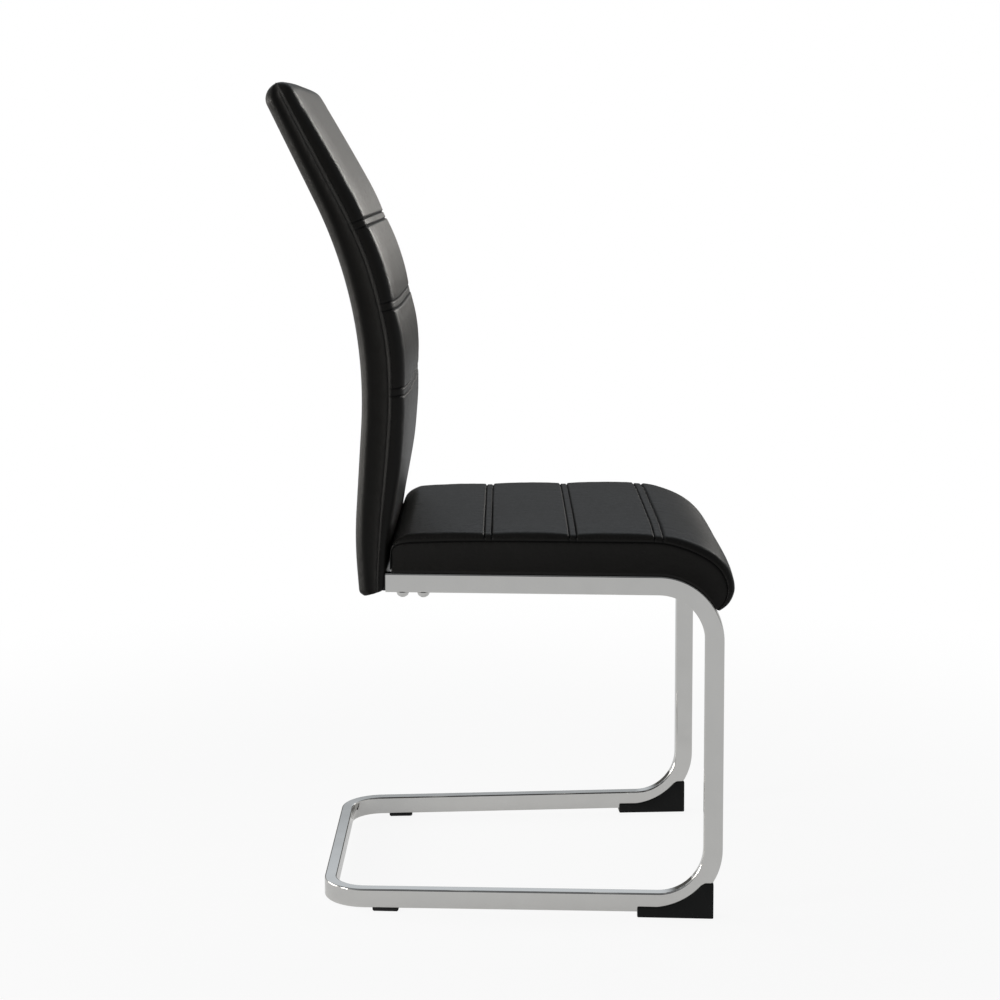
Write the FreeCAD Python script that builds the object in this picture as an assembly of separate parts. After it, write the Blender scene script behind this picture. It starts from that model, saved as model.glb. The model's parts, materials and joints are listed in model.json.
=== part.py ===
"""Cantilever dining chair: chromed tube frame, upholstered seat and high upholstered backrest.

Frame of the part: +X is the way the sitter faces, +Y is the sitter's left, +Z is up. The origin is
on the floor, under the middle of the chair's outline. All lengths are in millimetres.

What lies beside one side tube (foot, pad, bolts, stub) is drawn in a plane that is square to the
chair, then turned outwards by the splay and mirrored for the other side.
"""

import FreeCAD
import Part
import math
import os
from collections import namedtuple

Vector = FreeCAD.Vector
UP = Vector(0, 0, 1)
ACROSS = Vector(0, 1, 0)

# Frame tube: one bent rectangular steel tube
TUBE_HEIGHT = 23.0
TUBE_WIDTH = 15.0
TUBE_WALL = 1.5
TUBE_EDGE_RADIUS = 2.0
BEND_RADIUS = 66.5
BASE_CORNER_RADIUS = 47.5
FRAME_WIDTH = 430.0
SPLAY = 3.3
LEG_FRONT_X = 263.9
RAIL_LENGTH = 405.0
RAIL_TOP_Z = 415.5
RUNNER_LENGTH = 478.0
RUNNER_LIFT_FRONT = 6.6
RUNNER_LIFT_REAR = 3.9

# Crossbars welded between the seat rails
CROSSBAR_WIDTH = 30.0
CROSSBAR_HEIGHT = 15.0
CROSSBAR_WALL = 1.5
CROSSBAR_SETBACKS = (66.1, 266.1)

# Moulded feet under the front bends, and pads near the rear corners
FOOT_LENGTH = 91.4
FOOT_SETBACK = 10.7
FOOT_CHEEK = 2.0
FOOT_CHEEK_RISE = 6.0
FOOT_MIDDLE_RISE = 22.9
FOOT_SHOULDER_RISE = 40.0
FOOT_FRONT_HEIGHT = 43.0
FOOT_SHOULDER_SETBACK = 15.2
FOOT_MIDDLE_SETBACK = 36.2
FOOT_SCREW_SETBACK = 81.0
FOOT_SCREW_RECESS = 3.0
FOOT_SCREW_RECESS_DIAMETER = 9.0
PAD_LENGTH = 31.6
PAD_WIDTH = 13.0
PAD_FROM_REAR = 71.0
PAD_STEM_DIAMETER = 5.8
PAD_STEM_LENGTH = 7.0
PAD_END_CHAMFER = 1.5

# Upholstery: covers over foam
LEATHER = 1.5
SOFT_GAP = 0.3
CHANNEL_SEAM_GAP = 9.5
CHANNEL_HALF_WIDTH = 4.0
CHANNEL_DEPTH = 3.0
CHANNEL_RIDGE_DROP = 0.8
SIDE_DRAW_IN = 1.2

# Seat cushion, measured along the top of the rails from its rear end
SEAT_REAR_SETBACK = 7.1
SEAT_BOARD_THICKNESS = 10.0
SEAT_NOSE_ANGLE = 66.0
SEAT_BOARD_NOSE_SHARE = 0.82
SEAT_SEAM_HEIGHT = 39.8
SEAT_SHOULDER_RISE = 8.5
SEAT_SHOULDER_RUN = 22.0
SEAT_CROWN = 6.0
SEAT_EDGE_RADIUS = 1.0
SEAT_REAR_ROUND = 9.0
SEAT_FIRST_CHANNEL = 116.5
SEAT_CHANNEL_PITCH = 101.0
SEAT_CHANNEL_COUNT = 3
DUST_COVER_THICKNESS = 0.8
PIPING_DIAMETER = 3.0
PIPING_SUNK = 0.2
PIPING_CLEARANCE = 0.1

# Backrest cushion, measured up its rear face from its lower edge
BACK_SIDE_OVERHANG = 2.35
BACK_SEAT_GAP = 2.9
BACK_BOTTOM_DROP = 6.5
BACK_WAIST_HEIGHT = 68.0
BACK_WAIST_SIDE_DEPTH = 28.0
BACK_WAIST_FACE_DEPTH = 12.5
BACK_LOWER_LEAN = 4.5
BACK_LUMBAR_LEAN = -3.5
BACK_UPPER_LEAN = 26.0
BACK_LOWER_RUN = 34.0
BACK_LUMBAR_RADIUS = 500.0
BACK_MIDDLE_RUN = 100.5
BACK_SHOULDER_RADIUS = 540.0
BACK_UPPER_RUN = 145.5
BACK_TOP_CORNER_RADIUS = 20.0
BACK_TOP_ROUND = 19.0
BACK_TOP_EDGE_SHARE = 0.3
BACK_BOTTOM_ROUND = 8.0
BACK_BOTTOM_LOSS = 0.25
BACK_REAR_CORNER_RADIUS = 11.0
BACK_SHOULDER_RUN = 20.0
BACK_CROWN = 4.0
BACK_FIRST_CHANNEL = 247.0
BACK_CHANNEL_PITCH = 95.5
BACK_CHANNEL_COUNT = 3

# Steel inside the backrest, and the stubs that slide into the rails
STUB_CLEARANCE = 0.3
STUB_INSERTION = 75.0
STUB_END_MARGIN = 3.0
UPRIGHT_SIZE = 12.0
UPRIGHT_WALL = 1.5
UPRIGHT_DEPTH = 15.0
UPRIGHT_TOP_MARGIN = 48.0
UPRIGHT_STEPS = 14
BACK_TUBE_SIZE = 12.0
BACK_TUBE_BOTTOM_MARGIN = 60.0
BACK_TUBE_MIDDLE_SHARE = 0.465
BACK_TUBE_TOP_MARGIN = 67.8

# Screws
CLAMP_BOLT_SETBACKS = (20.0, 45.0)
CLAMP_BOLT_DIAMETER = 7.9
CLAMP_BOLT_LENGTH = 19.0
CLAMP_HEAD_DIAMETER = 14.0
CLAMP_HEAD_HEIGHT = 4.4
CLAMP_SOCKET = 5.0
CLAMP_SOCKET_DEPTH = 2.6
CLAMP_WASHER_DIAMETER = 14.8
CLAMP_WASHER_THICKNESS = 1.9
SEAT_BOLT_DIAMETER = 5.9
SEAT_BOLT_HEAD_DIAMETER = 10.5
SEAT_BOLT_HEAD_HEIGHT = 3.3
SEAT_BOLT_SOCKET = 4.0
SEAT_BOLT_SOCKET_DEPTH = 2.0
SEAT_BOLT_INSET = 45.0
SEAT_WASHER_DIAMETER = 14.0
SEAT_WASHER_THICKNESS = 1.2
TEE_NUT_FLANGE_DIAMETER = 19.0
TEE_NUT_FLANGE_THICKNESS = 1.4
TEE_NUT_BARREL_DIAMETER = 8.0
TEE_NUT_BARREL_LENGTH = 7.0
FOOT_SCREW_DIAMETER = 3.9
FOOT_SCREW_LENGTH = 9.0
FOOT_SCREW_HEAD_DIAMETER = 8.0
FOOT_SCREW_HEAD_HEIGHT = 2.2
HOLE_CLEARANCE = 0.2

# Places that follow from the sizes above
RAIL_REAR_X = LEG_FRONT_X - RAIL_LENGTH
RAIL_BOTTOM_Z = RAIL_TOP_Z - TUBE_HEIGHT
OUTER_BEND_RADIUS = BEND_RADIUS + TUBE_HEIGHT / 2
SIDE_PIVOT = Vector(LEG_FRONT_X, FRAME_WIDTH / 2, 0)
SIDE_MIDDLE_Y = FRAME_WIDTH / 2 - TUBE_WIDTH / 2
BASE_REAR_X = LEG_FRONT_X - RUNNER_LENGTH
PAD_X = BASE_REAR_X + PAD_FROM_REAR
FOOT_FRONT_X = LEG_FRONT_X - FOOT_SETBACK
FOOT_SCREW_X = FOOT_FRONT_X - FOOT_SCREW_SETBACK
CROSSBAR_REAR_X = RAIL_REAR_X + CROSSBAR_SETBACKS[0]
CROSSBAR_FRONT_X = RAIL_REAR_X + CROSSBAR_SETBACKS[1]
SEAT_REAR_X = RAIL_REAR_X + SEAT_REAR_SETBACK
SEAT_BASE_Z = RAIL_TOP_Z + SOFT_GAP
BACK_WAIST_DEPTH = BACK_WAIST_SIDE_DEPTH + BACK_WAIST_FACE_DEPTH
BACK_WAIST_SHIFT = BACK_WAIST_HEIGHT * math.sin(math.radians(BACK_LOWER_LEAN))
BACK_REAR_X = SEAT_REAR_X - BACK_SEAT_GAP - BACK_WAIST_DEPTH + BACK_WAIST_SHIFT
BACK_BOTTOM_Z = RAIL_BOTTOM_Z - BACK_BOTTOM_DROP
STUB_REACH_BACK = RAIL_REAR_X - BACK_REAR_X - UPRIGHT_DEPTH + UPRIGHT_SIZE / 2 + STUB_END_MARGIN
BOARD_BOTTOM = DUST_COVER_THICKNESS
BOARD_TOP = BOARD_BOTTOM + SEAT_BOARD_THICKNESS
FOAM_INSET = LEATHER + SOFT_GAP
PIPING_ROOM = PIPING_DIAMETER / 2 + PIPING_CLEARANCE

Station = namedtuple("Station", "place origin along face half_width seam top run crown corner")


def splayed(shape):
    """Turn a shape of the square side plane outwards to the left tube's plane."""
    turned = shape.copy()
    turned.rotate(SIDE_PIVOT, UP, SPLAY)
    return turned


def mirrored(shape):
    """The same shape on the sitter's right."""
    return shape.mirror(Vector(0, 0, 0), ACROSS)


def outer_half_width(x):
    """Half the distance between the outer faces of the side tubes at a place along X."""
    return FRAME_WIDTH / 2 - (LEG_FRONT_X - x) * math.tan(math.radians(SPLAY))


def cylinder(center, direction, diameter, length):
    """A round bar from a centre point, along a direction."""
    return Part.makeCylinder(diameter / 2, length, center, direction)


def box_between(low, high):
    """A square box between two corners."""
    size = high - low
    return Part.makeBox(size.x, size.y, size.z, low)


def joined(shapes):
    """Several solids as one group."""
    return Part.makeCompound(shapes)


def blend(rows, place):
    """Read a column of sizes between the rows (place, size, size, ...) of a short table."""
    if place <= rows[0][0]:
        return rows[0][1:]
    for low, high in zip(rows, rows[1:]):
        if place <= high[0]:
            share = (place - low[0]) / (high[0] - low[0])
            return tuple(a + (b - a) * share for a, b in zip(low[1:], high[1:]))
    return rows[-1][1:]


# Bent bars


def rounded_path(corners, radii):
    """A wire of straight runs joined by tangent arcs."""
    edges = []
    start = corners[0]
    for before, corner, after, radius in zip(corners, corners[1:], corners[2:], radii):
        into = (corner - before).normalize()
        out = (after - corner).normalize()
        half_turn = into.getAngle(out) / 2
        first = corner - into * (radius * math.tan(half_turn))
        last = corner + out * (radius * math.tan(half_turn))
        inward = (out - into).normalize()
        middle = corner + inward * (radius / math.cos(half_turn) - radius)
        edges.append(Part.LineSegment(start, first).toShape())
        edges.append(Part.Arc(first, middle, last).toShape())
        start = last
    edges.append(Part.LineSegment(start, corners[-1]).toShape())
    return Part.Wire(edges)


def rounded_rectangle(center, across, up, width, height, radius):
    """A closed wire of four straight edges and four corner arcs."""
    edges = []
    corner_cut = radius * (1 - math.sqrt(0.5))
    for side, level in ((1, -1), (1, 1), (-1, 1), (-1, -1)):
        corner = center + across * (side * width / 2) + up * (level * height / 2)
        toward_side = across * (-side * radius)
        toward_level = up * (-level * radius)
        middle = corner + (across * -side + up * -level) * corner_cut
        if side == level:
            edges.append(Part.Arc(corner + toward_level, middle, corner + toward_side))
        else:
            edges.append(Part.Arc(corner + toward_side, middle, corner + toward_level))
    arcs = [edge.toShape() for edge in edges]
    closed = []
    for arc, following in zip(arcs, arcs[1:] + arcs[:1]):
        closed.append(arc)
        closed.append(Part.LineSegment(arc.Vertexes[-1].Point, following.Vertexes[0].Point).toShape())
    return Part.Wire(closed)


def swept(path, section):
    """A solid bar of one section along a path."""
    sweep = Part.BRepOffsetAPI.MakePipeShell(path)
    sweep.add(section, False, False)
    sweep.build()
    sweep.makeSolid()
    return sweep.shape()


def frame_half_path():
    """Centre line of the left half: rail, upper bend, leg, lower bend, runner, half the crossbar."""
    leg_x = LEG_FRONT_X - TUBE_HEIGHT / 2
    rail_z = RAIL_TOP_Z - TUBE_HEIGHT / 2
    flat = [
        Vector(RAIL_REAR_X, SIDE_MIDDLE_Y, rail_z),
        Vector(leg_x, SIDE_MIDDLE_Y, rail_z),
        Vector(leg_x, SIDE_MIDDLE_Y, RUNNER_LIFT_FRONT + TUBE_HEIGHT / 2),
        Vector(BASE_REAR_X, SIDE_MIDDLE_Y, RUNNER_LIFT_REAR + TUBE_HEIGHT / 2),
    ]
    turn = FreeCAD.Rotation(UP, SPLAY)
    corners = [SIDE_PIVOT + turn.multVec(point - SIDE_PIVOT) for point in flat]
    corners.append(Vector(corners[-1].x, 0, corners[-1].z))
    return rounded_path(corners, (BEND_RADIUS, BEND_RADIUS, BASE_CORNER_RADIUS))


def frame_half(inset):
    """The left half of the frame as a solid bar, smaller all round by an inset."""
    path = frame_half_path()
    across = FreeCAD.Rotation(UP, SPLAY).multVec(ACROSS)
    section = rounded_rectangle(
        path.Vertexes[0].Point,
        across,
        UP,
        TUBE_WIDTH - 2 * inset,
        TUBE_HEIGHT - 2 * inset,
        max(TUBE_EDGE_RADIUS - inset, TUBE_EDGE_RADIUS / 4),
    )
    return swept(path, section)


def make_frame_tube(envelope):
    """The bent tube with its bore, and the holes for clamp bolts, pad stems and foot screws."""
    left = envelope.cut(frame_half(TUBE_WALL))
    drills = []
    for setback in CLAMP_BOLT_SETBACKS:
        below = Vector(RAIL_REAR_X + setback, SIDE_MIDDLE_Y, RAIL_BOTTOM_Z - TUBE_WALL)
        drills.append(cylinder(below, UP, CLAMP_BOLT_DIAMETER + 2 * HOLE_CLEARANCE, 3 * TUBE_WALL))
    pad_hole = Vector(PAD_X, SIDE_MIDDLE_Y, 0)
    drills.append(cylinder(pad_hole, UP, PAD_STEM_DIAMETER + 2 * HOLE_CLEARANCE, TUBE_HEIGHT / 2))
    screw_hole = Vector(FOOT_SCREW_X, SIDE_MIDDLE_Y, 0)
    drills.append(cylinder(screw_hole, UP, FOOT_SCREW_DIAMETER + 2 * HOLE_CLEARANCE, TUBE_HEIGHT / 2))
    for drill in drills:
        left = left.cut(splayed(drill))
    return left.fuse(mirrored(left)).removeSplitter()


def make_crossbar(middle_x):
    """A hollow bar between the inner faces of the two seat rails, its top level with theirs."""
    inset = TUBE_WIDTH / math.cos(math.radians(SPLAY))
    rear_x = middle_x - CROSSBAR_WIDTH / 2
    front_x = middle_x + CROSSBAR_WIDTH / 2
    rear_y = outer_half_width(rear_x) - inset
    front_y = outer_half_width(front_x) - inset
    bottom_z = RAIL_TOP_Z - CROSSBAR_HEIGHT
    plan = [
        Vector(rear_x, -rear_y, bottom_z),
        Vector(front_x, -front_y, bottom_z),
        Vector(front_x, front_y, bottom_z),
        Vector(rear_x, rear_y, bottom_z),
    ]
    bar = Part.Face(Part.makePolygon(plan + plan[:1])).extrude(UP * CROSSBAR_HEIGHT)
    wall = Vector(CROSSBAR_WALL, 0, CROSSBAR_WALL)
    bore = box_between(
        Vector(rear_x, -FRAME_WIDTH / 2, bottom_z) + wall,
        Vector(front_x, FRAME_WIDTH / 2, RAIL_TOP_Z) - wall,
    )
    bar = bar.cut(bore)
    for bolt_y in seat_bolt_ys(middle_x):
        hole = Vector(middle_x, bolt_y, bottom_z - CROSSBAR_WALL)
        bar = bar.cut(
            cylinder(hole, UP, SEAT_BOLT_DIAMETER + 2 * HOLE_CLEARANCE, CROSSBAR_HEIGHT + 2 * CROSSBAR_WALL)
        )
    return bar


# Feet and pads


def make_foot(envelope):
    """The left front foot: a wedge under the lower bend, with cheeks up both sides of the tube."""
    front_x = FOOT_FRONT_X
    rear_x = front_x - FOOT_LENGTH
    bend_x = LEG_FRONT_X - OUTER_BEND_RADIUS
    y = FRAME_WIDTH / 2 + FOOT_CHEEK
    rear_top = Vector(rear_x, y, RUNNER_LIFT_FRONT + FOOT_CHEEK_RISE)
    arc_start = Vector(bend_x, y, RUNNER_LIFT_FRONT + FOOT_CHEEK_RISE)
    arc_middle = Vector(front_x - FOOT_MIDDLE_SETBACK, y, FOOT_MIDDLE_RISE)
    shoulder = Vector(front_x - FOOT_SHOULDER_SETBACK, y, FOOT_SHOULDER_RISE)
    shoulder_front = Vector(front_x - FOOT_SHOULDER_SETBACK * 2 / 3, y, FOOT_FRONT_HEIGHT)
    front_top = Vector(front_x, y, FOOT_FRONT_HEIGHT)
    front_bottom = Vector(front_x, y, 0)
    rear_bottom = Vector(rear_x, y, 0)
    outline = Part.Wire(
        [
            Part.LineSegment(rear_top, arc_start).toShape(),
            Part.Arc(arc_start, arc_middle, shoulder).toShape(),
            Part.LineSegment(shoulder, shoulder_front).toShape(),
            Part.LineSegment(shoulder_front, front_top).toShape(),
            Part.LineSegment(front_top, front_bottom).toShape(),
            Part.LineSegment(front_bottom, rear_bottom).toShape(),
            Part.LineSegment(rear_bottom, rear_top).toShape(),
        ]
    )
    foot = Part.Face(outline).extrude(ACROSS * -(TUBE_WIDTH + 2 * FOOT_CHEEK))
    screw = Vector(FOOT_SCREW_X, SIDE_MIDDLE_Y, 0)
    foot = foot.cut(cylinder(screw, UP, FOOT_SCREW_RECESS_DIAMETER, FOOT_SCREW_RECESS))
    foot = foot.cut(cylinder(screw, UP, FOOT_SCREW_DIAMETER + 2 * HOLE_CLEARANCE, TUBE_HEIGHT))
    return largest_solid(splayed(foot).cut(envelope))


def make_foot_screw():
    """A pan-head screw that holds the left foot to the tube from below."""
    seat = Vector(FOOT_SCREW_X, SIDE_MIDDLE_Y, FOOT_SCREW_RECESS)
    head = cylinder(seat - UP * FOOT_SCREW_HEAD_HEIGHT, UP, FOOT_SCREW_HEAD_DIAMETER, FOOT_SCREW_HEAD_HEIGHT)
    shank = cylinder(seat, UP, FOOT_SCREW_DIAMETER, FOOT_SCREW_LENGTH)
    return splayed(head.fuse(shank))


def make_pad(envelope):
    """The left rear pad: a thin rubber block with chamfered ends and a stem into the tube."""
    middle = Vector(PAD_X, SIDE_MIDDLE_Y, 0)
    half = PAD_LENGTH / 2
    y = middle.y + PAD_WIDTH / 2
    top_z = RUNNER_LIFT_FRONT
    profile = [
        Vector(middle.x - half + PAD_END_CHAMFER, y, 0),
        Vector(middle.x + half - PAD_END_CHAMFER, y, 0),
        Vector(middle.x + half, y, PAD_END_CHAMFER),
        Vector(middle.x + half, y, top_z),
        Vector(middle.x - half, y, top_z),
        Vector(middle.x - half, y, PAD_END_CHAMFER),
    ]
    block = Part.Face(Part.makePolygon(profile + profile[:1])).extrude(ACROSS * -PAD_WIDTH)
    block = largest_solid(splayed(block).cut(envelope))
    stem_start = RUNNER_LIFT_REAR / 2
    stem = cylinder(middle + UP * stem_start, UP, PAD_STEM_DIAMETER, PAD_STEM_LENGTH)
    return block.fuse(splayed(stem)).removeSplitter()


def largest_solid(shape):
    """The largest solid of a shape."""
    return max(shape.Solids, key=lambda solid: solid.Volume)


# Screws


def button_bolt(seat, diameter, length, head_diameter, head_height, socket, socket_depth):
    """A button-head bolt: domed head below its seat, shank above it, hexagon socket from below."""
    rim = Vector(head_diameter / 2, 0, 0)
    flat_rim = Vector(head_diameter / 4, 0, -head_height)
    bulge = Vector(head_diameter * 0.42, 0, -head_height * 0.64)
    outline = Part.Wire(
        [
            Part.LineSegment(Vector(0, 0, 0), rim).toShape(),
            Part.Arc(rim, bulge, flat_rim).toShape(),
            Part.LineSegment(flat_rim, Vector(0, 0, -head_height)).toShape(),
            Part.LineSegment(Vector(0, 0, -head_height), Vector(0, 0, 0)).toShape(),
        ]
    )
    head = Part.Face(outline).revolve(Vector(0, 0, 0), UP, 360)
    corner_radius = socket / math.sqrt(3)
    corners = []
    for index in range(7):
        angle = math.radians(60 * index)
        corners.append(
            Vector(corner_radius * math.cos(angle), corner_radius * math.sin(angle), -head_height)
        )
    recess = Part.Face(Part.makePolygon(corners)).extrude(UP * socket_depth)
    shank = cylinder(Vector(0, 0, 0), UP, diameter, length)
    bolt = head.fuse(shank).removeSplitter().cut(recess)
    bolt.translate(seat)
    return bolt


def washer(bottom, outer_diameter, inner_diameter, thickness):
    """A flat ring on its bottom centre."""
    ring = cylinder(bottom, UP, outer_diameter, thickness)
    return ring.cut(cylinder(bottom, UP, inner_diameter, thickness))


def clamp_places():
    """Centres of the left clamp bolts where they meet the underside of the rail."""
    return [Vector(RAIL_REAR_X + setback, SIDE_MIDDLE_Y, RAIL_BOTTOM_Z) for setback in CLAMP_BOLT_SETBACKS]


def make_clamp_bolts():
    """Two bolts in each rail, from below into the tapped stub."""
    left = []
    for place in clamp_places():
        seat = place - UP * CLAMP_WASHER_THICKNESS
        bolt = button_bolt(
            seat,
            CLAMP_BOLT_DIAMETER,
            CLAMP_BOLT_LENGTH,
            CLAMP_HEAD_DIAMETER,
            CLAMP_HEAD_HEIGHT,
            CLAMP_SOCKET,
            CLAMP_SOCKET_DEPTH,
        )
        left.append(splayed(bolt))
    return joined(left + [mirrored(bolt) for bolt in left])


def make_clamp_washers():
    """A spring washer under each clamp bolt's head."""
    left = []
    for place in clamp_places():
        ring = washer(
            place - UP * CLAMP_WASHER_THICKNESS,
            CLAMP_WASHER_DIAMETER,
            CLAMP_BOLT_DIAMETER + 2 * HOLE_CLEARANCE,
            CLAMP_WASHER_THICKNESS,
        )
        left.append(splayed(ring))
    return joined(left + [mirrored(ring) for ring in left])


def seat_bolt_ys(crossbar_x):
    """Where the two seat bolts of a crossbar stand across the chair."""
    y = outer_half_width(crossbar_x) - TUBE_WIDTH - SEAT_BOLT_INSET
    return (-y, y)


def seat_bolt_places():
    """Centres of the four seat bolts on the underside of the crossbars."""
    places = []
    for crossbar_x in (CROSSBAR_REAR_X, CROSSBAR_FRONT_X):
        for y in seat_bolt_ys(crossbar_x):
            places.append(Vector(crossbar_x, y, RAIL_TOP_Z - CROSSBAR_HEIGHT))
    return places


def make_seat_bolts():
    """Four bolts up through the crossbars into the seat board."""
    length = SEAT_WASHER_THICKNESS + CROSSBAR_HEIGHT + SOFT_GAP + BOARD_TOP - TEE_NUT_FLANGE_THICKNESS
    bolts = []
    for place in seat_bolt_places():
        bolts.append(
            button_bolt(
                place - UP * SEAT_WASHER_THICKNESS,
                SEAT_BOLT_DIAMETER,
                length,
                SEAT_BOLT_HEAD_DIAMETER,
                SEAT_BOLT_HEAD_HEIGHT,
                SEAT_BOLT_SOCKET,
                SEAT_BOLT_SOCKET_DEPTH,
            )
        )
    return joined(bolts)


def make_seat_washers():
    """A washer under each seat bolt's head."""
    rings = []
    for place in seat_bolt_places():
        rings.append(
            washer(
                place - UP * SEAT_WASHER_THICKNESS,
                SEAT_WASHER_DIAMETER,
                SEAT_BOLT_DIAMETER + 2 * HOLE_CLEARANCE,
                SEAT_WASHER_THICKNESS,
            )
        )
    return joined(rings)


def make_tee_nuts():
    """Four tee nuts let into the top of the seat board."""
    nuts = []
    top_z = SEAT_BASE_Z + BOARD_TOP
    for place in seat_bolt_places():
        top = Vector(place.x, place.y, top_z - TEE_NUT_FLANGE_THICKNESS)
        flange = cylinder(top, UP, TEE_NUT_FLANGE_DIAMETER, TEE_NUT_FLANGE_THICKNESS)
        barrel = cylinder(top - UP * TEE_NUT_BARREL_LENGTH, UP, TEE_NUT_BARREL_DIAMETER, TEE_NUT_BARREL_LENGTH)
        nut = flange.fuse(barrel)
        bore_start = top - UP * TEE_NUT_BARREL_LENGTH
        bore_length = TEE_NUT_BARREL_LENGTH + TEE_NUT_FLANGE_THICKNESS
        nuts.append(nut.cut(cylinder(bore_start, UP, SEAT_BOLT_DIAMETER + HOLE_CLEARANCE, bore_length)))
    return joined(nuts)


# Cushion outlines


class Spine:
    """Straight and round stretches of a cushion's base line, seen from the side."""

    def __init__(self, x, z, heading, stretches, face_side):
        self.x = x
        self.z = z
        self.heading = heading
        self.stretches = stretches
        self.face_side = face_side
        self.length = sum(length for length, turn in stretches)

    def at(self, distance):
        """Origin, direction along and direction of the face at a distance from the start."""
        x = self.x
        z = self.z
        heading = math.radians(self.heading)
        left = distance
        for number, (length, turn) in enumerate(self.stretches):
            last = number == len(self.stretches) - 1
            step = left if last else min(left, length)
            bend = math.radians(turn) * step / length
            chord = step if abs(bend) < 1e-9 else 2 * step / bend * math.sin(bend / 2)
            x += chord * math.sin(heading + bend / 2)
            z += chord * math.cos(heading + bend / 2)
            heading += bend
            left -= step
            if left <= 0:
                break
        along = Vector(math.sin(heading), 0, math.cos(heading))
        face = Vector(math.cos(heading), 0, -math.sin(heading)) * self.face_side
        return Vector(x, 0, z), along, face


def line(start, end):
    """A straight edge."""
    return Part.LineSegment(start, end).toShape()


def arc_through(start, middle, end):
    """An arc through three points."""
    return Part.Arc(start, middle, end).toShape()


def local(station, y, rise):
    """A point of a station's plane."""
    return station.origin + ACROSS * y + station.face * rise


def shoulder_edges(station, inset, lift=0.0):
    """Edges over the face, from the left seam across the crown to the right seam."""
    width = station.half_width - inset
    seam = station.seam + lift
    top = station.top - inset
    flat = width - station.run
    bulge_y = width - (1 - math.sqrt(0.5)) * station.run
    bulge_rise = seam + math.sqrt(0.5) * (top - seam)
    left = arc_through(
        local(station, width, seam), local(station, bulge_y, bulge_rise), local(station, flat, top)
    )
    crown = arc_through(
        local(station, flat, top), local(station, 0, top + station.crown), local(station, -flat, top)
    )
    right = arc_through(
        local(station, -flat, top), local(station, -bulge_y, bulge_rise), local(station, -width, seam)
    )
    return [left, crown, right]


def drawn_in(station, rise):
    """How far the sides are drawn in at a height above the base: a shallow parabola."""
    half = (station.seam - station.corner) / 2
    off_middle = (rise - station.corner - half) / half
    return min(SIDE_DRAW_IN, half / 2) * max(0.0, 1 - off_middle * off_middle)


def side_point(station, inset, rise, side):
    """A point of the drawn-in side at a height above the base."""
    return local(station, side * (station.half_width - inset - drawn_in(station, rise)), rise)


def side_edge(station, inset, low, high, side):
    """The drawn-in side between two heights."""
    middle = side_point(station, inset, (low + high) / 2, side)
    return arc_through(side_point(station, inset, low, side), middle, side_point(station, inset, high, side))


def corner_edge(station, inset, base, side):
    """The rounded corner between base and side."""
    radius = station.corner
    slack = radius * (1 - math.sqrt(0.5))
    end = side_point(station, inset, base + radius, side)
    width = abs(end.y)
    return arc_through(
        local(station, side * (width - radius), base),
        local(station, side * (width - slack), base + slack),
        end,
    )


def base_edge(station, inset, base):
    """The flat base, from right to left."""
    width = abs(side_point(station, inset, base + station.corner, 1).y) - station.corner
    return line(local(station, -width, base), local(station, width, base))


def full_section(station, inset, base):
    """Closed outline of a cushion: base, corners, sides, shoulders and crown."""
    low = base + station.corner
    edges = [
        base_edge(station, inset, base),
        corner_edge(station, inset, base, 1),
        side_edge(station, inset, low, station.seam, 1),
    ]
    edges += shoulder_edges(station, inset)
    edges += [side_edge(station, inset, low, station.seam, -1), corner_edge(station, inset, base, -1)]
    return Part.Wire(edges)


def face_cover_section(station, lift=0.0):
    """Closed outline of the cover over the face, from seam to seam or a little above them."""
    width = station.half_width
    seam = station.seam + lift
    edges = shoulder_edges(station, 0, lift)
    edges.append(line(local(station, -width, seam), local(station, -width + LEATHER, seam)))
    edges += list(reversed(shoulder_edges(station, LEATHER, lift)))
    edges.append(line(local(station, width - LEATHER, seam), local(station, width, seam)))
    return Part.Wire(edges)


def side_panel_section(station):
    """Closed outline of the left side panel, from its lower edge up to the piping."""
    low = station.corner
    high = station.seam - PIPING_ROOM
    edges = [
        side_edge(station, 0, low, high, 1),
        line(side_point(station, 0, high, 1), side_point(station, LEATHER, high, 1)),
        side_edge(station, LEATHER, low, high, 1),
        line(side_point(station, LEATHER, low, 1), side_point(station, 0, low, 1)),
    ]
    return Part.Wire(edges)


def base_cover_section(station):
    """Closed outline of the cover round the base, from seam to seam."""
    edges = []
    for inset in (0, LEATHER):
        low = inset + station.corner
        edges += [
            side_edge(station, inset, low, station.seam, 1),
            corner_edge(station, inset, inset, 1),
            base_edge(station, inset, inset),
            corner_edge(station, inset, inset, -1),
            side_edge(station, inset, low, station.seam, -1),
        ]
    outer = station.half_width
    inner = station.half_width - LEATHER
    for side in (-1, 1):
        edges.append(line(local(station, side * outer, station.seam), local(station, side * inner, station.seam)))
    left_end = edges.pop()
    right_end = edges.pop()
    return Part.Wire(edges[:5] + [right_end] + list(reversed(edges[5:])) + [left_end])


def lofted(wires):
    """A solid through closed outlines that have the same number of edges."""
    return Part.makeLoft(wires, True, True, False)


def plate(station, thickness):
    """A flat end piece of a cushion's outline, laid from a station onwards."""
    return Part.Face(full_section(station, 0, 0)).extrude(station.along * thickness)


def channel_places(first, pitch, count):
    """Distances of the paired seams of every sewn channel."""
    places = []
    for number in range(count):
        middle = first + pitch * number
        places += [middle - CHANNEL_SEAM_GAP / 2, middle + CHANNEL_SEAM_GAP / 2]
    return places


def channel_drop(distance, seams):
    """How far the face is drawn down at a distance along the cushion."""
    drop = 0.0
    for seam in seams:
        nearness = 1 - abs(distance - seam) / CHANNEL_HALF_WIDTH
        drop = max(drop, CHANNEL_DEPTH * nearness)
    for low, high in zip(seams[::2], seams[1::2]):
        if low < distance < high:
            drop = max(drop, CHANNEL_RIDGE_DROP)
    return drop


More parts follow.
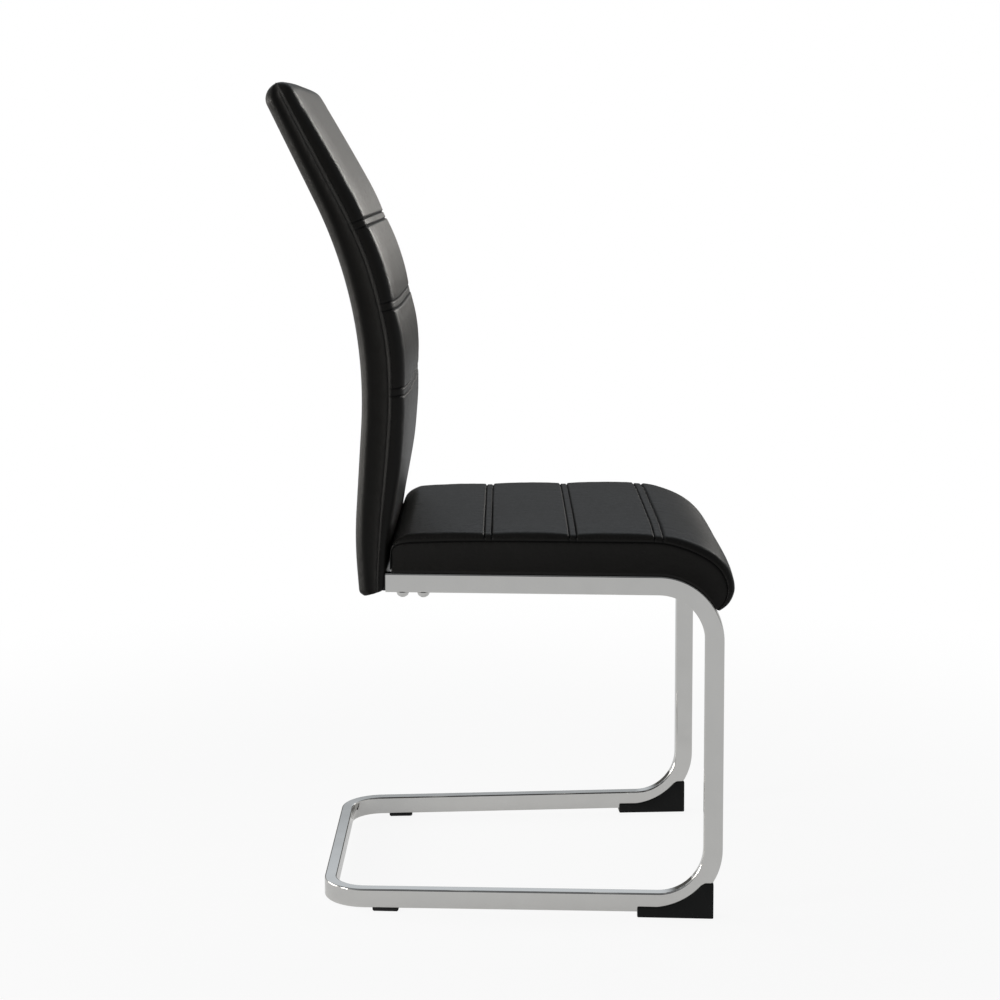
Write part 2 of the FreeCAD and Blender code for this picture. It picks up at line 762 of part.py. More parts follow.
def with_channels(plain, seams):
    """Add the distances that a sewn channel needs to a list of plain distances."""
    extra = []
    for low, high in zip(seams[::2], seams[1::2]):
        extra += [low - CHANNEL_HALF_WIDTH, low, (low + high) / 2, high, high + CHANNEL_HALF_WIDTH]
    kept = []
    for distance in plain:
        if all(abs(distance - place) > CHANNEL_HALF_WIDTH for place in extra):
            kept.append(distance)
    return sorted(kept + extra)


# Seat cushion


def seat_spine():
    """Base line of the seat: along the rails, then round the upper bend."""
    bend_x = LEG_FRONT_X - OUTER_BEND_RADIUS
    bend = OUTER_BEND_RADIUS + SOFT_GAP
    nose = math.radians(SEAT_NOSE_ANGLE) * bend
    stretches = ((bend_x - SEAT_REAR_X, 0), (nose, SEAT_NOSE_ANGLE))
    return Spine(SEAT_REAR_X, SEAT_BASE_Z, 90, stretches, -1)


SEAT_SPINE = seat_spine()
SEAT_NOSE_START = SEAT_SPINE.stretches[0][0]
SEAT_SEAMS = channel_places(SEAT_FIRST_CHANNEL, SEAT_CHANNEL_PITCH, SEAT_CHANNEL_COUNT)
# Each row: share of the nose, then shares of the seam height, of the shoulder rise and of the crown
SEAT_NOSE_ROWS = (
    (0.00, 1.00, 1.0, 1.0),
    (0.20, 0.93, 1.0, 1.0),
    (0.55, 0.88, 1.0, 1.0),
    (0.70, 0.78, 1.1, 1.0),
    (0.82, 0.60, 1.2, 0.8),
    (0.91, 0.42, 1.1, 0.6),
    (1.00, 0.29, 0.2, 0.2),
)
# Shares of the nose at which more outlines follow its bend
SEAT_NOSE_FILL = (0.32, 0.44, 0.62, 0.76, 0.96)
# Each row: share of the rear rounding, share of its radius by which the end is lower
SEAT_REAR_ROWS = ((0.0, 1.0), (0.1, 0.56), (0.3, 0.29), (0.6, 0.08), (1.0, 0.0))


def seat_station(distance):
    """Outline sizes of the seat cushion at a distance from its rear end."""
    origin, along, face = SEAT_SPINE.at(distance)
    nose_length = SEAT_SPINE.length - SEAT_NOSE_START
    nose_share = (distance - SEAT_NOSE_START) / nose_length
    seam_share, rise_share, crown_share = blend(SEAT_NOSE_ROWS, nose_share)
    rear_drop = blend(SEAT_REAR_ROWS, distance / SEAT_REAR_ROUND)[0] * SEAT_REAR_ROUND
    seam = SEAT_SEAM_HEIGHT * seam_share - rear_drop
    top = seam + SEAT_SHOULDER_RISE * rise_share - channel_drop(distance, SEAT_SEAMS)
    half_width = outer_half_width(origin.x + seam * face.x)
    return Station(
        distance,
        origin,
        along,
        face,
        half_width,
        seam,
        top,
        SEAT_SHOULDER_RUN,
        SEAT_CROWN * crown_share,
        SEAT_EDGE_RADIUS,
    )


def seat_stations():
    """Stations of the seat from rear to nose."""
    rear = [share * SEAT_REAR_ROUND for share, drop in SEAT_REAR_ROWS]
    plain = rear + [SEAT_NOSE_START / 3, SEAT_NOSE_START * 2 / 3, SEAT_NOSE_START]
    nose_length = SEAT_SPINE.length - SEAT_NOSE_START
    plain += [SEAT_NOSE_START + nose_length * row[0] for row in SEAT_NOSE_ROWS[1:]]
    plain += [SEAT_NOSE_START + nose_length * share for share in SEAT_NOSE_FILL]
    return [seat_station(distance) for distance in with_channels(sorted(plain), SEAT_SEAMS)]


def inner_stations(stations, distance):
    """Stations of what lies inside the end plates: both ends moved in along the spine."""
    start = stations[0].place + distance
    end = stations[-1].place - distance
    first = stations[0]._replace(origin=stations[0].origin + stations[0].along * distance)
    last = stations[-1]._replace(origin=stations[-1].origin - stations[-1].along * distance)
    between = [station for station in stations if start + SOFT_GAP < station.place < end - SOFT_GAP]
    return [first] + between + [last]


def board_end():
    """Distance along the seat at which the board ends, short of the nose."""
    return SEAT_NOSE_START + (SEAT_SPINE.length - SEAT_NOSE_START) * SEAT_BOARD_NOSE_SHARE


def board_stations(stations):
    """Stations of the seat board and the cloth under it."""
    inner = inner_stations(stations, FOAM_INSET)
    return [station for station in inner if station.place < board_end() + SOFT_GAP]


def slab_section(station, inset, low, high):
    """A rectangular outline between two heights, set in from the sides."""
    width = station.half_width - inset
    corners = [
        local(station, -width, low),
        local(station, width, low),
        local(station, width, high),
        local(station, -width, high),
    ]
    return Part.makePolygon(corners + corners[:1])


def seat_hole(place, diameter):
    """A drill through the seat's layers at one bolt."""
    return cylinder(Vector(place.x, place.y, RAIL_TOP_Z - SOFT_GAP), UP, diameter, BOARD_TOP + 3 * SOFT_GAP)


def make_seat_board(stations):
    """Bent plywood board, drilled and counterbored for the tee nuts."""
    inset = FOAM_INSET + SIDE_DRAW_IN
    sections = []
    for station in board_stations(stations):
        sections.append(slab_section(station, inset, BOARD_BOTTOM, BOARD_TOP))
    board = lofted(sections)
    for place in seat_bolt_places():
        board = board.cut(seat_hole(place, TEE_NUT_BARREL_DIAMETER + HOLE_CLEARANCE))
        sink_z = SEAT_BASE_Z + BOARD_TOP - TEE_NUT_FLANGE_THICKNESS
        sink = Vector(place.x, place.y, sink_z)
        sink_diameter = TEE_NUT_FLANGE_DIAMETER + 2 * HOLE_CLEARANCE
        board = board.cut(cylinder(sink, UP, sink_diameter, 2 * TEE_NUT_FLANGE_THICKNESS))
    return board


def make_seat_dust_cover(stations):
    """Thin cloth under the seat board, with holes for the bolts."""
    inset = FOAM_INSET + SIDE_DRAW_IN
    sections = []
    for station in board_stations(stations):
        sections.append(slab_section(station, inset, 0, DUST_COVER_THICKNESS))
    cloth = lofted(sections)
    for place in seat_bolt_places():
        cloth = cloth.cut(seat_hole(place, TEE_NUT_BARREL_DIAMETER + HOLE_CLEARANCE))
    return cloth


def make_seat_foam(stations):
    """The foam block on the board and round its front edge, with crown, drawn-in sides and channels."""
    wires = []
    for station in inner_stations(stations, FOAM_INSET):
        over_board = station.place < board_end() + SOFT_GAP
        base = BOARD_TOP + SOFT_GAP if over_board else FOAM_INSET
        wires.append(full_section(station, FOAM_INSET, base))
    return lofted(wires)


def make_seat_top_cover(stations):
    """The cover that runs up the rear, over the top and down the nose, with its sewn channels."""
    skin = lofted([face_cover_section(station, PIPING_ROOM) for station in stations])
    rear = plate(stations[0], LEATHER)
    nose = plate(stations[-1], -LEATHER)
    return skin.fuse([rear, nose]).removeSplitter()


def make_seat_side_panel(stations):
    """The left side panel of the seat, between the cover's two end pieces."""
    inner = inner_stations(stations, FOAM_INSET)
    return lofted([side_panel_section(station) for station in inner])


def make_seat_piping(stations):
    """The cord sewn into the left seam, from the rear corner up, forward and down the nose."""
    first = stations[0]
    points = [local(first, first.half_width - PIPING_SUNK, PIPING_DIAMETER)]
    for station in stations:
        points.append(local(station, station.half_width - PIPING_SUNK, station.seam))
    circles = []
    for number, point in enumerate(points):
        before = points[max(number - 1, 0)]
        after = points[min(number + 1, len(points) - 1)]
        direction = (after - before).normalize()
        circles.append(Part.Wire(Part.makeCircle(PIPING_DIAMETER / 2, point, direction)))
    return lofted(circles)


# Backrest cushion


def back_spine():
    """Rear face of the backrest: straight, curved forward, straight, curved back, straight."""
    lumbar_turn = BACK_LOWER_LEAN - BACK_LUMBAR_LEAN
    shoulder_turn = BACK_UPPER_LEAN - BACK_LUMBAR_LEAN
    stretches = (
        (BACK_LOWER_RUN, 0),
        (math.radians(lumbar_turn) * BACK_LUMBAR_RADIUS, lumbar_turn),
        (BACK_MIDDLE_RUN, 0),
        (math.radians(shoulder_turn) * BACK_SHOULDER_RADIUS, -shoulder_turn),
        (BACK_UPPER_RUN, 0),
    )
    return Spine(BACK_REAR_X, BACK_BOTTOM_Z, -BACK_LOWER_LEAN, stretches, 1)


BACK_SPINE = back_spine()
BACK_SEAMS = channel_places(BACK_FIRST_CHANNEL, BACK_CHANNEL_PITCH, BACK_CHANNEL_COUNT)
# Each row: distance up the rear face, depth from rear face to seam, depth from seam to face,
# and share of the crown
BACK_DEPTH_ROWS = (
    (BACK_BOTTOM_ROUND, 21.0, 9.0, 0.1),
    (30.0, 24.0, 10.5, 0.15),
    (BACK_WAIST_HEIGHT, BACK_WAIST_SIDE_DEPTH, BACK_WAIST_FACE_DEPTH, 0.4),
    (160.0, 31.0, 18.0, 1.0),
    (300.0, 33.0, 20.0, 1.0),
    (405.0, 29.0, 20.0, 1.0),
    (480.0, 24.0, 21.0, 1.0),
    (600.0, 21.0, 16.0, 1.0),
)
# Shares of the top rounding at which outlines follow it, from its start to the top edge
BACK_TOP_FILL = (0.75, 0.5, 0.3, 0.14, 0.04)
BACK_STEPS = 16


def end_round(distance_from_end, radius):
    """Share of the full depth that is left this near to a rounded end."""
    if distance_from_end >= radius:
        return 1.0
    height = radius - max(distance_from_end, 0.0)
    return math.sqrt(max(radius * radius - height * height, 0.0)) / radius


def back_station(distance):
    """Outline sizes of the backrest at a distance up its rear face."""
    origin, along, face = BACK_SPINE.at(distance)
    rear_depth, front_depth, crown_share = blend(BACK_DEPTH_ROWS, distance)
    from_top = BACK_SPINE.length - distance
    corner_loss = BACK_TOP_CORNER_RADIUS * (1 - end_round(from_top, BACK_TOP_CORNER_RADIUS))
    share = max(end_round(from_top, BACK_TOP_ROUND), BACK_TOP_EDGE_SHARE)
    share *= 1 - BACK_BOTTOM_LOSS * max(0.0, 1 - distance / BACK_BOTTOM_ROUND)
    seam = rear_depth * share
    return Station(
        distance,
        origin + face * (rear_depth - seam),
        along,
        face,
        outer_half_width(RAIL_REAR_X) + BACK_SIDE_OVERHANG - corner_loss,
        seam,
        (rear_depth + front_depth) * share - channel_drop(distance, BACK_SEAMS),
        BACK_SHOULDER_RUN,
        BACK_CROWN * crown_share * share,
        min(BACK_REAR_CORNER_RADIUS, seam * 0.6),
    )


def back_stations():
    """Stations of the backrest from its lower edge to its top."""
    length = BACK_SPINE.length
    first = BACK_WAIST_HEIGHT / 2
    step = (length - BACK_TOP_CORNER_RADIUS - first) / BACK_STEPS
    plain = [0.0, BACK_BOTTOM_ROUND / 2, BACK_BOTTOM_ROUND]
    plain += [first + step * number for number in range(BACK_STEPS + 1)]
    plain += [length - BACK_TOP_ROUND * share for share in BACK_TOP_FILL]
    return [back_station(distance) for distance in with_channels(plain, BACK_SEAMS)]


def stub_size():
    """Width and height of the stub bar that fits the bore of the rail."""
    width = TUBE_WIDTH - 2 * TUBE_WALL - 2 * STUB_CLEARANCE
    height = TUBE_HEIGHT - 2 * TUBE_WALL - 2 * STUB_CLEARANCE
    return width, height


def stub_top_z():
    """Height of the stub's upper face."""
    return RAIL_TOP_Z - TUBE_HEIGHT / 2 + stub_size()[1] / 2


def stub_bar(grow):
    """The left stub as a plain bar, larger all round by a clearance."""
    width, height = stub_size()
    middle_z = RAIL_TOP_Z - TUBE_HEIGHT / 2
    low = Vector(
        RAIL_REAR_X - STUB_REACH_BACK - grow,
        SIDE_MIDDLE_Y - width / 2 - grow,
        middle_z - height / 2 - grow,
    )
    high = Vector(
        RAIL_REAR_X + STUB_INSERTION,
        SIDE_MIDDLE_Y + width / 2 + grow,
        middle_z + height / 2 + grow,
    )
    return splayed(box_between(low, high))


def make_stub():
    """The left stub: a steel bar that slides into the rail, tapped for the clamp bolts."""
    stub = stub_bar(0)
    for place in clamp_places():
        stub = stub.cut(splayed(cylinder(place, UP, CLAMP_BOLT_DIAMETER + HOLE_CLEARANCE, TUBE_HEIGHT)))
    return stub


def upright_middle_y():
    """Where the uprights stand across the chair: over the rear end of the stubs."""
    return outer_half_width(RAIL_REAR_X - STUB_REACH_BACK / 2) - TUBE_WIDTH / 2


def upright_section(distance, size):
    """A square outline of the left upright, square to the spine."""
    origin, along, face = BACK_SPINE.at(distance)
    middle = origin + ACROSS * upright_middle_y() + face * UPRIGHT_DEPTH
    half = size / 2
    corners = [
        middle + ACROSS * -half + face * -half,
        middle + ACROSS * half + face * -half,
        middle + ACROSS * half + face * half,
        middle + ACROSS * -half + face * half,
    ]
    return Part.makePolygon(corners + corners[:1])


def upright_distances():
    """Distances up the rear face at which the upright's bend is followed."""
    first = stub_top_z() - BACK_BOTTOM_Z + UPRIGHT_SIZE
    last = BACK_SPINE.length - UPRIGHT_TOP_MARGIN
    step = (last - first) / UPRIGHT_STEPS
    return [first + step * number for number in range(UPRIGHT_STEPS + 1)]


def upright_bar(grow):
    """The left upright as a plain bar from the top of the stub, larger by a clearance."""
    distances = upright_distances()
    size = UPRIGHT_SIZE + 2 * grow
    bar = lofted([upright_section(distance, size) for distance in distances])
    if grow:
        top = BACK_SPINE.at(distances[-1])[1]
        cap = Part.Face(upright_section(distances[-1], size)).extrude(top * grow)
        bar = bar.fuse(cap)
    foot = Part.Face(upright_section(distances[0], size)).extrude(UP * (-2 * UPRIGHT_SIZE))
    box = foot.BoundBox
    sunk = box_between(
        Vector(box.XMin, box.YMin, stub_top_z() - 2 * UPRIGHT_SIZE),
        Vector(box.XMax, box.YMax, stub_top_z()),
    )
    return bar.fuse(foot.cut(sunk)).removeSplitter()


def make_upright():
    """The left upright: a square tube welded on the stub, bent to the backrest's curve."""
    bar = upright_bar(0)
    distances = upright_distances()
    bore_size = UPRIGHT_SIZE - 2 * UPRIGHT_WALL
    bore = lofted([upright_section(distance, bore_size) for distance in distances])
    return bar.cut(bore)


def back_tube_distances():
    """Distances up the rear face of the lowest, middle and highest cross tube."""
    length = BACK_SPINE.length
    return BACK_TUBE_BOTTOM_MARGIN, length * BACK_TUBE_MIDDLE_SHARE, length - BACK_TUBE_TOP_MARGIN


def back_tube(distance, grow):
    """A cross tube between the two uprights, larger all round by a clearance."""
    origin, along, face = BACK_SPINE.at(distance)
    half = BACK_TUBE_SIZE / 2 + grow
    end_y = upright_middle_y() - UPRIGHT_SIZE / 2
    middle = origin + face * UPRIGHT_DEPTH - ACROSS * end_y
    corners = [
        middle - along * half - face * half,
        middle + along * half - face * half,
        middle + along * half + face * half,
        middle - along * half + face * half,
    ]
    return Part.Face(Part.makePolygon(corners + corners[:1])).extrude(ACROSS * (2 * end_y))


def make_back_tube(distance):
    """A hollow cross tube of the backrest's steel frame."""
    return back_tube(distance, 0).cut(back_tube(distance, -UPRIGHT_WALL))


def make_backrest_foam(stations):
    """Foam moulded round the steel frame, with crown, drawn-in sides and channels."""
    inner = inner_stations(stations, FOAM_INSET)
    foam = lofted([full_section(station, FOAM_INSET, FOAM_INSET) for station in inner])
    upright = upright_bar(SOFT_GAP)
    stub = stub_bar(SOFT_GAP)
    steel = [upright, mirrored(upright), stub, mirrored(stub)]
    for distance in back_tube_distances():
        steel.append(back_tube(distance, SOFT_GAP))
    return largest_solid(foam.cut(steel))


def make_backrest_front_cover(stations):
    """The cover over the front and the top edge, with its channels and slots for the stubs."""
    skin = lofted([face_cover_section(station) for station in stations])
    top = plate(stations[-1], -LEATHER)
    stub = stub_bar(SOFT_GAP)
    cover = skin.fuse(top).removeSplitter()
    return largest_solid(cover.cut([stub, mirrored(stub)]))


def make_backrest_rear_cover(stations):
    """The cover over the rear and round the sides as far as the side seams."""
    return lofted([base_cover_section(station) for station in inner_stations(stations, FOAM_INSET)])


def make_backrest_bottom_flap(stations):
    """The flap that closes the lower edge of the backrest."""
    return Part.Face(full_section(stations[0], FOAM_INSET, 0)).extrude(stations[0].along * LEATHER)


# Assembly


def make_nodes():
    """Every separate piece of the chair under its own name."""
    left_half = frame_half(0)
    seat = seat_stations()
    back = back_stations()
    foot = make_foot(left_half)
    pad = make_pad(left_half)
    screw = make_foot_screw()
    panel = make_seat_side_panel(seat)
    piping = make_seat_piping(seat)
    upright = make_upright()
    stub = make_stub()
    lowest, middle, highest = back_tube_distances()
    return {
        "frame_tube": make_frame_tube(left_half),
        "seat_crossbar_rear": make_crossbar(CROSSBAR_REAR_X),
        "seat_crossbar_front": make_crossbar(CROSSBAR_FRONT_X),
        "front_foot_left": foot,
        "front_foot_right": mirrored(foot),
        "rear_pad_left": pad,
        "rear_pad_right": mirrored(pad),
        "foot_screws": joined([screw, mirrored(screw)]),
        "seat_board": make_seat_board(seat),
        "seat_dust_cover": make_seat_dust_cover(seat),
        "seat_foam": make_seat_foam(seat),
        "seat_top_cover": make_seat_top_cover(seat),
        "seat_side_panel_left": panel,
        "seat_side_panel_right": mirrored(panel),
        "seat_piping_left": piping,
        "seat_piping_right": mirrored(piping),
        "seat_tee_nuts": make_tee_nuts(),
        "seat_bolts": make_seat_bolts(),
        "seat_washers": make_seat_washers(),
        "backrest_stub_left": stub,
        "backrest_stub_right": mirrored(stub),
        "backrest_upright_left": upright,
        "backrest_upright_right": mirrored(upright),
        "backrest_tube_bottom": make_back_tube(lowest),
        "backrest_tube_middle": make_back_tube(middle),
        "backrest_tube_top": make_back_tube(highest),
        "backrest_foam": make_backrest_foam(back),
        "backrest_front_cover": make_backrest_front_cover(back),
        "backrest_rear_cover": make_backrest_rear_cover(back),
        "backrest_bottom_flap": make_backrest_bottom_flap(back),
        "clamp_bolts": make_clamp_bolts(),
        "clamp_washers": make_clamp_washers(),
    }


def main():
    """Write one STEP file per piece."""
    os.makedirs("parts", exist_ok=True)
    for name, shape in make_nodes().items():
        shape.exportStep(f"parts/{name}.step")
        box = shape.BoundBox
        print(
            f"{name}: solids {len(shape.Solids)}, valid {shape.isValid()}, "
            f"volume {shape.Volume / 1000:.1f} cm3, "
            f"x {box.XMin:.1f}..{box.XMax:.1f}, y {box.YMin:.1f}..{box.YMax:.1f}, "
            f"z {box.ZMin:.1f}..{box.ZMax:.1f}"
        )


main()
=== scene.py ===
"""Cantilever dining chair: black faux leather seat and high backrest on a frame of chromed tube.

Lengths are in metres. +X is the way the sitter faces, +Y the sitter's left, +Z up, and the origin
is on the floor under the middle of the chair. Each sub-assembly is a class that holds its sizes
and builds its pieces; each finish is a small class that makes one material.
"""

from __future__ import annotations

import json
import logging
import math
from dataclasses import dataclass
from enum import Enum
from functools import cached_property

import bmesh
import bpy
import numpy as np
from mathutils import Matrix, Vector

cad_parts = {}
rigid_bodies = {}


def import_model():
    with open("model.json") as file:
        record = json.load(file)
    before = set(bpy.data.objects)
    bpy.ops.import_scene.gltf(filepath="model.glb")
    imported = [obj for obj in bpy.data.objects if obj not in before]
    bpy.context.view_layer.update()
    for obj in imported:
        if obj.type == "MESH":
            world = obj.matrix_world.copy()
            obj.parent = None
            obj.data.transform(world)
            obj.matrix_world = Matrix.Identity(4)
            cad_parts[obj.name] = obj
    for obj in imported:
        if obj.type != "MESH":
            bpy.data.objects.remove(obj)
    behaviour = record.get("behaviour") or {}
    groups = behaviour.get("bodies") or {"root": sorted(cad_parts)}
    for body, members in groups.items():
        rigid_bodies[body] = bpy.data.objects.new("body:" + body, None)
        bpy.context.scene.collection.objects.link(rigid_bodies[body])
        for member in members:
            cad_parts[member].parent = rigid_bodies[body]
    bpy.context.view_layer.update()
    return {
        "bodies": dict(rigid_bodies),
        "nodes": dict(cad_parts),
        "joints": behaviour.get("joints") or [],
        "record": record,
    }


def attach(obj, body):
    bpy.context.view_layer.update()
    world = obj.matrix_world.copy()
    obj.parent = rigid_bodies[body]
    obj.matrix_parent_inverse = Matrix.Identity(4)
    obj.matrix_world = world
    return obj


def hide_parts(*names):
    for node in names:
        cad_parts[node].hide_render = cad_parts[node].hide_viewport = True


Array = np.ndarray
Pair = tuple[float, float]
Triple = tuple[float, float, float]
Colour = tuple[float, float, float]

LOG = logging.getLogger("chair")
UP = np.array((0.0, 0.0, 1.0))
ACROSS = np.array((0.0, 1.0, 0.0))


class Side(Enum):
    """The sitter's left or right, with the sign of its Y coordinates."""

    LEFT = 1
    RIGHT = -1

    @property
    def word(self) -> str:
        """The side's name as used in the names of pieces."""
        return self.name.lower()


class Slot(Enum):
    """Material slots of the record."""

    CHROME = "chromed_steel"
    LEATHER = "black_leather"
    PIPING = "piping"
    PLASTIC = "black_plastic"
    RUBBER = "black_rubber"
    ZINC = "zinc_steel"
    FOAM = "foam"
    CLOTH = "dust_cloth"


# Numbers on grids


def unit(vectors: Array) -> Array:
    """Vectors along the last axis, each divided by its length."""
    return vectors / np.linalg.norm(vectors, axis=-1, keepdims=True)


def smooth_step(values: Array | float) -> Array:
    """Ease from 0 to 1: three times the square less twice the cube, held at the ends."""
    held = np.clip(values, 0.0, 1.0)
    return held * held * (3.0 - 2.0 * held)


def rounded(values: Array | float) -> Array:
    """Height of a quarter circle: the root of 1 less the squared distance left to 1."""
    left = 1.0 - np.clip(values, 0.0, 1.0)
    return np.sqrt(np.maximum(1.0 - left * left, 0.0))


def quads(rows: int, columns: int, wrap_rows: bool = False, wrap_columns: bool = False) -> Array:
    """Corner numbers of the quads of a grid.

    Args:
        rows: Rows of points.
        columns: Points in a row.
        wrap_rows: Join the last row to the first.
        wrap_columns: Join the last point of a row to its first.

    Returns:
        One row of four point numbers for each quad.
    """
    row = np.arange(rows if wrap_rows else rows - 1)[:, None]
    column = np.arange(columns if wrap_columns else columns - 1)[None, :]
    next_row = (row + 1) % rows
    next_column = (column + 1) % columns
    corners = (
        row * columns + column,
        row * columns + next_column,
        next_row * columns + next_column,
        next_row * columns + column,
    )
    return np.stack(np.broadcast_arrays(*corners), axis=-1).reshape(-1, 4)


def facing_out(points: Array, faces: Array, inside: Array | None = None) -> Array:
    """Turn all faces the same way round, so that they point away from the inside.

    Args:
        points: Points, three coordinates each.
        faces: Quads of one even winding.
        inside: A point on the inner side; without it the sign of the enclosed volume decides.

    Returns:
        The quads, reversed if they pointed inwards.
    """
    first, second, third, fourth = (points[faces[:, corner]] for corner in range(4))
    normals = np.cross(third - first, fourth - second)
    middles = (first + second + third + fourth) / 4
    origin = points.mean(axis=0) if inside is None else inside
    outward = np.einsum("ij,ij->i", normals, middles - origin).sum()
    return faces if outward > 0 else faces[:, ::-1]


def skin(points: Array, outward: Array) -> tuple[Array, Array]:
    """Quads and unit normals of a grid surface.

    A normal is the cross product of the grid's two directions, each from its neighbours.

    Args:
        points: A grid of points.
        outward: The direction that its middle faces.

    Returns:
        Quads and normals that point outwards.
    """
    normals = unit(np.cross(np.gradient(points, axis=0), np.gradient(points, axis=1)) + 1e-12)
    faces = quads(*points.shape[:2])
    row, column = (size // 2 for size in points.shape[:2])
    if normals[row, column] @ outward > 0:
        return faces[:, ::-1], normals
    return faces, -normals


def walked_along(line: Array) -> Array:
    """Distance walked along a line of points up to each of them."""
    return np.concatenate(((0.0,), np.cumsum(np.linalg.norm(np.diff(line, axis=0), axis=1))))


def sampled(places: Array, known: Array, values: Array) -> Array:
    """Rows of values read at places, straight between the known ones."""
    return np.stack([np.interp(places, known, column) for column in values.T], axis=-1)


class MeshMaker:
    @staticmethod
    def add(
        name: str,
        points: Array,
        faces: Array | list,
        material: bpy.types.Material,
        slot: Slot,
        replaces: tuple[str, ...] = (),
        normals: Array | None = None,
        flat: bool = False,
    ) -> bpy.types.Object:
        """Make one piece of the chair.

        Args:
            name: Name of the piece.
            points: Its points in the chair's frame.
            faces: Quads, or lists of corners.
            material: Its finish.
            slot: The record's slot that the finish stands for; not used.
            replaces: Solids of the frame that it stands for.
            normals: A normal for each point, where the surface gives it exactly.
            flat: Leave the faces flat shaded.

        Returns:
            The new object, riding on the chair.
        """
        mesh = bpy.data.meshes.new(name)
        mesh.from_pydata(np.ascontiguousarray(points.reshape(-1, 3)), [], faces)
        mesh.update()
        if not flat:
            mesh.shade_smooth()
        if normals is not None:
            mesh.normals_split_custom_set_from_vertices(normals.reshape(-1, 3))
        mesh.materials.append(material)
        piece = bpy.data.objects.new(name, mesh)
        bpy.context.scene.collection.objects.link(piece)
        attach(piece, "root")
        if replaces:
            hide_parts(*replaces)
        LOG.info("%s: %d points", name, len(mesh.vertices))
        return piece

    @staticmethod
    def welded(piece: bpy.types.Object, distance: float = 1e-6, recalculate: bool = False) -> None:
        """Merge points that lie on each other, as at poles and closed ends."""
        work = bmesh.new()
        work.from_mesh(piece.data)
        bmesh.ops.remove_doubles(work, verts=work.verts, dist=distance)
        if recalculate:
            bmesh.ops.recalc_face_normals(work, faces=work.faces)
        work.to_mesh(piece.data)
        work.free()

    @staticmethod
    def attribute(piece: bpy.types.Object, name: str, values: Array) -> None:
        """Give each point of a piece one number that its material reads."""
        layer = piece.data.attributes.new(name, "FLOAT", "POINT")
        layer.data.foreach_set("value", np.ascontiguousarray(values.reshape(-1), dtype=np.float32))

    @staticmethod
    def thicken(piece: bpy.types.Object, thickness: float) -> None:
        """Give a sheet its thickness on its inner side."""
        wall = piece.modifiers.new("thickness", "SOLIDIFY")
        wall.thickness = thickness
        wall.offset = -1.0
        wall.use_even_offset = False


# Finishes


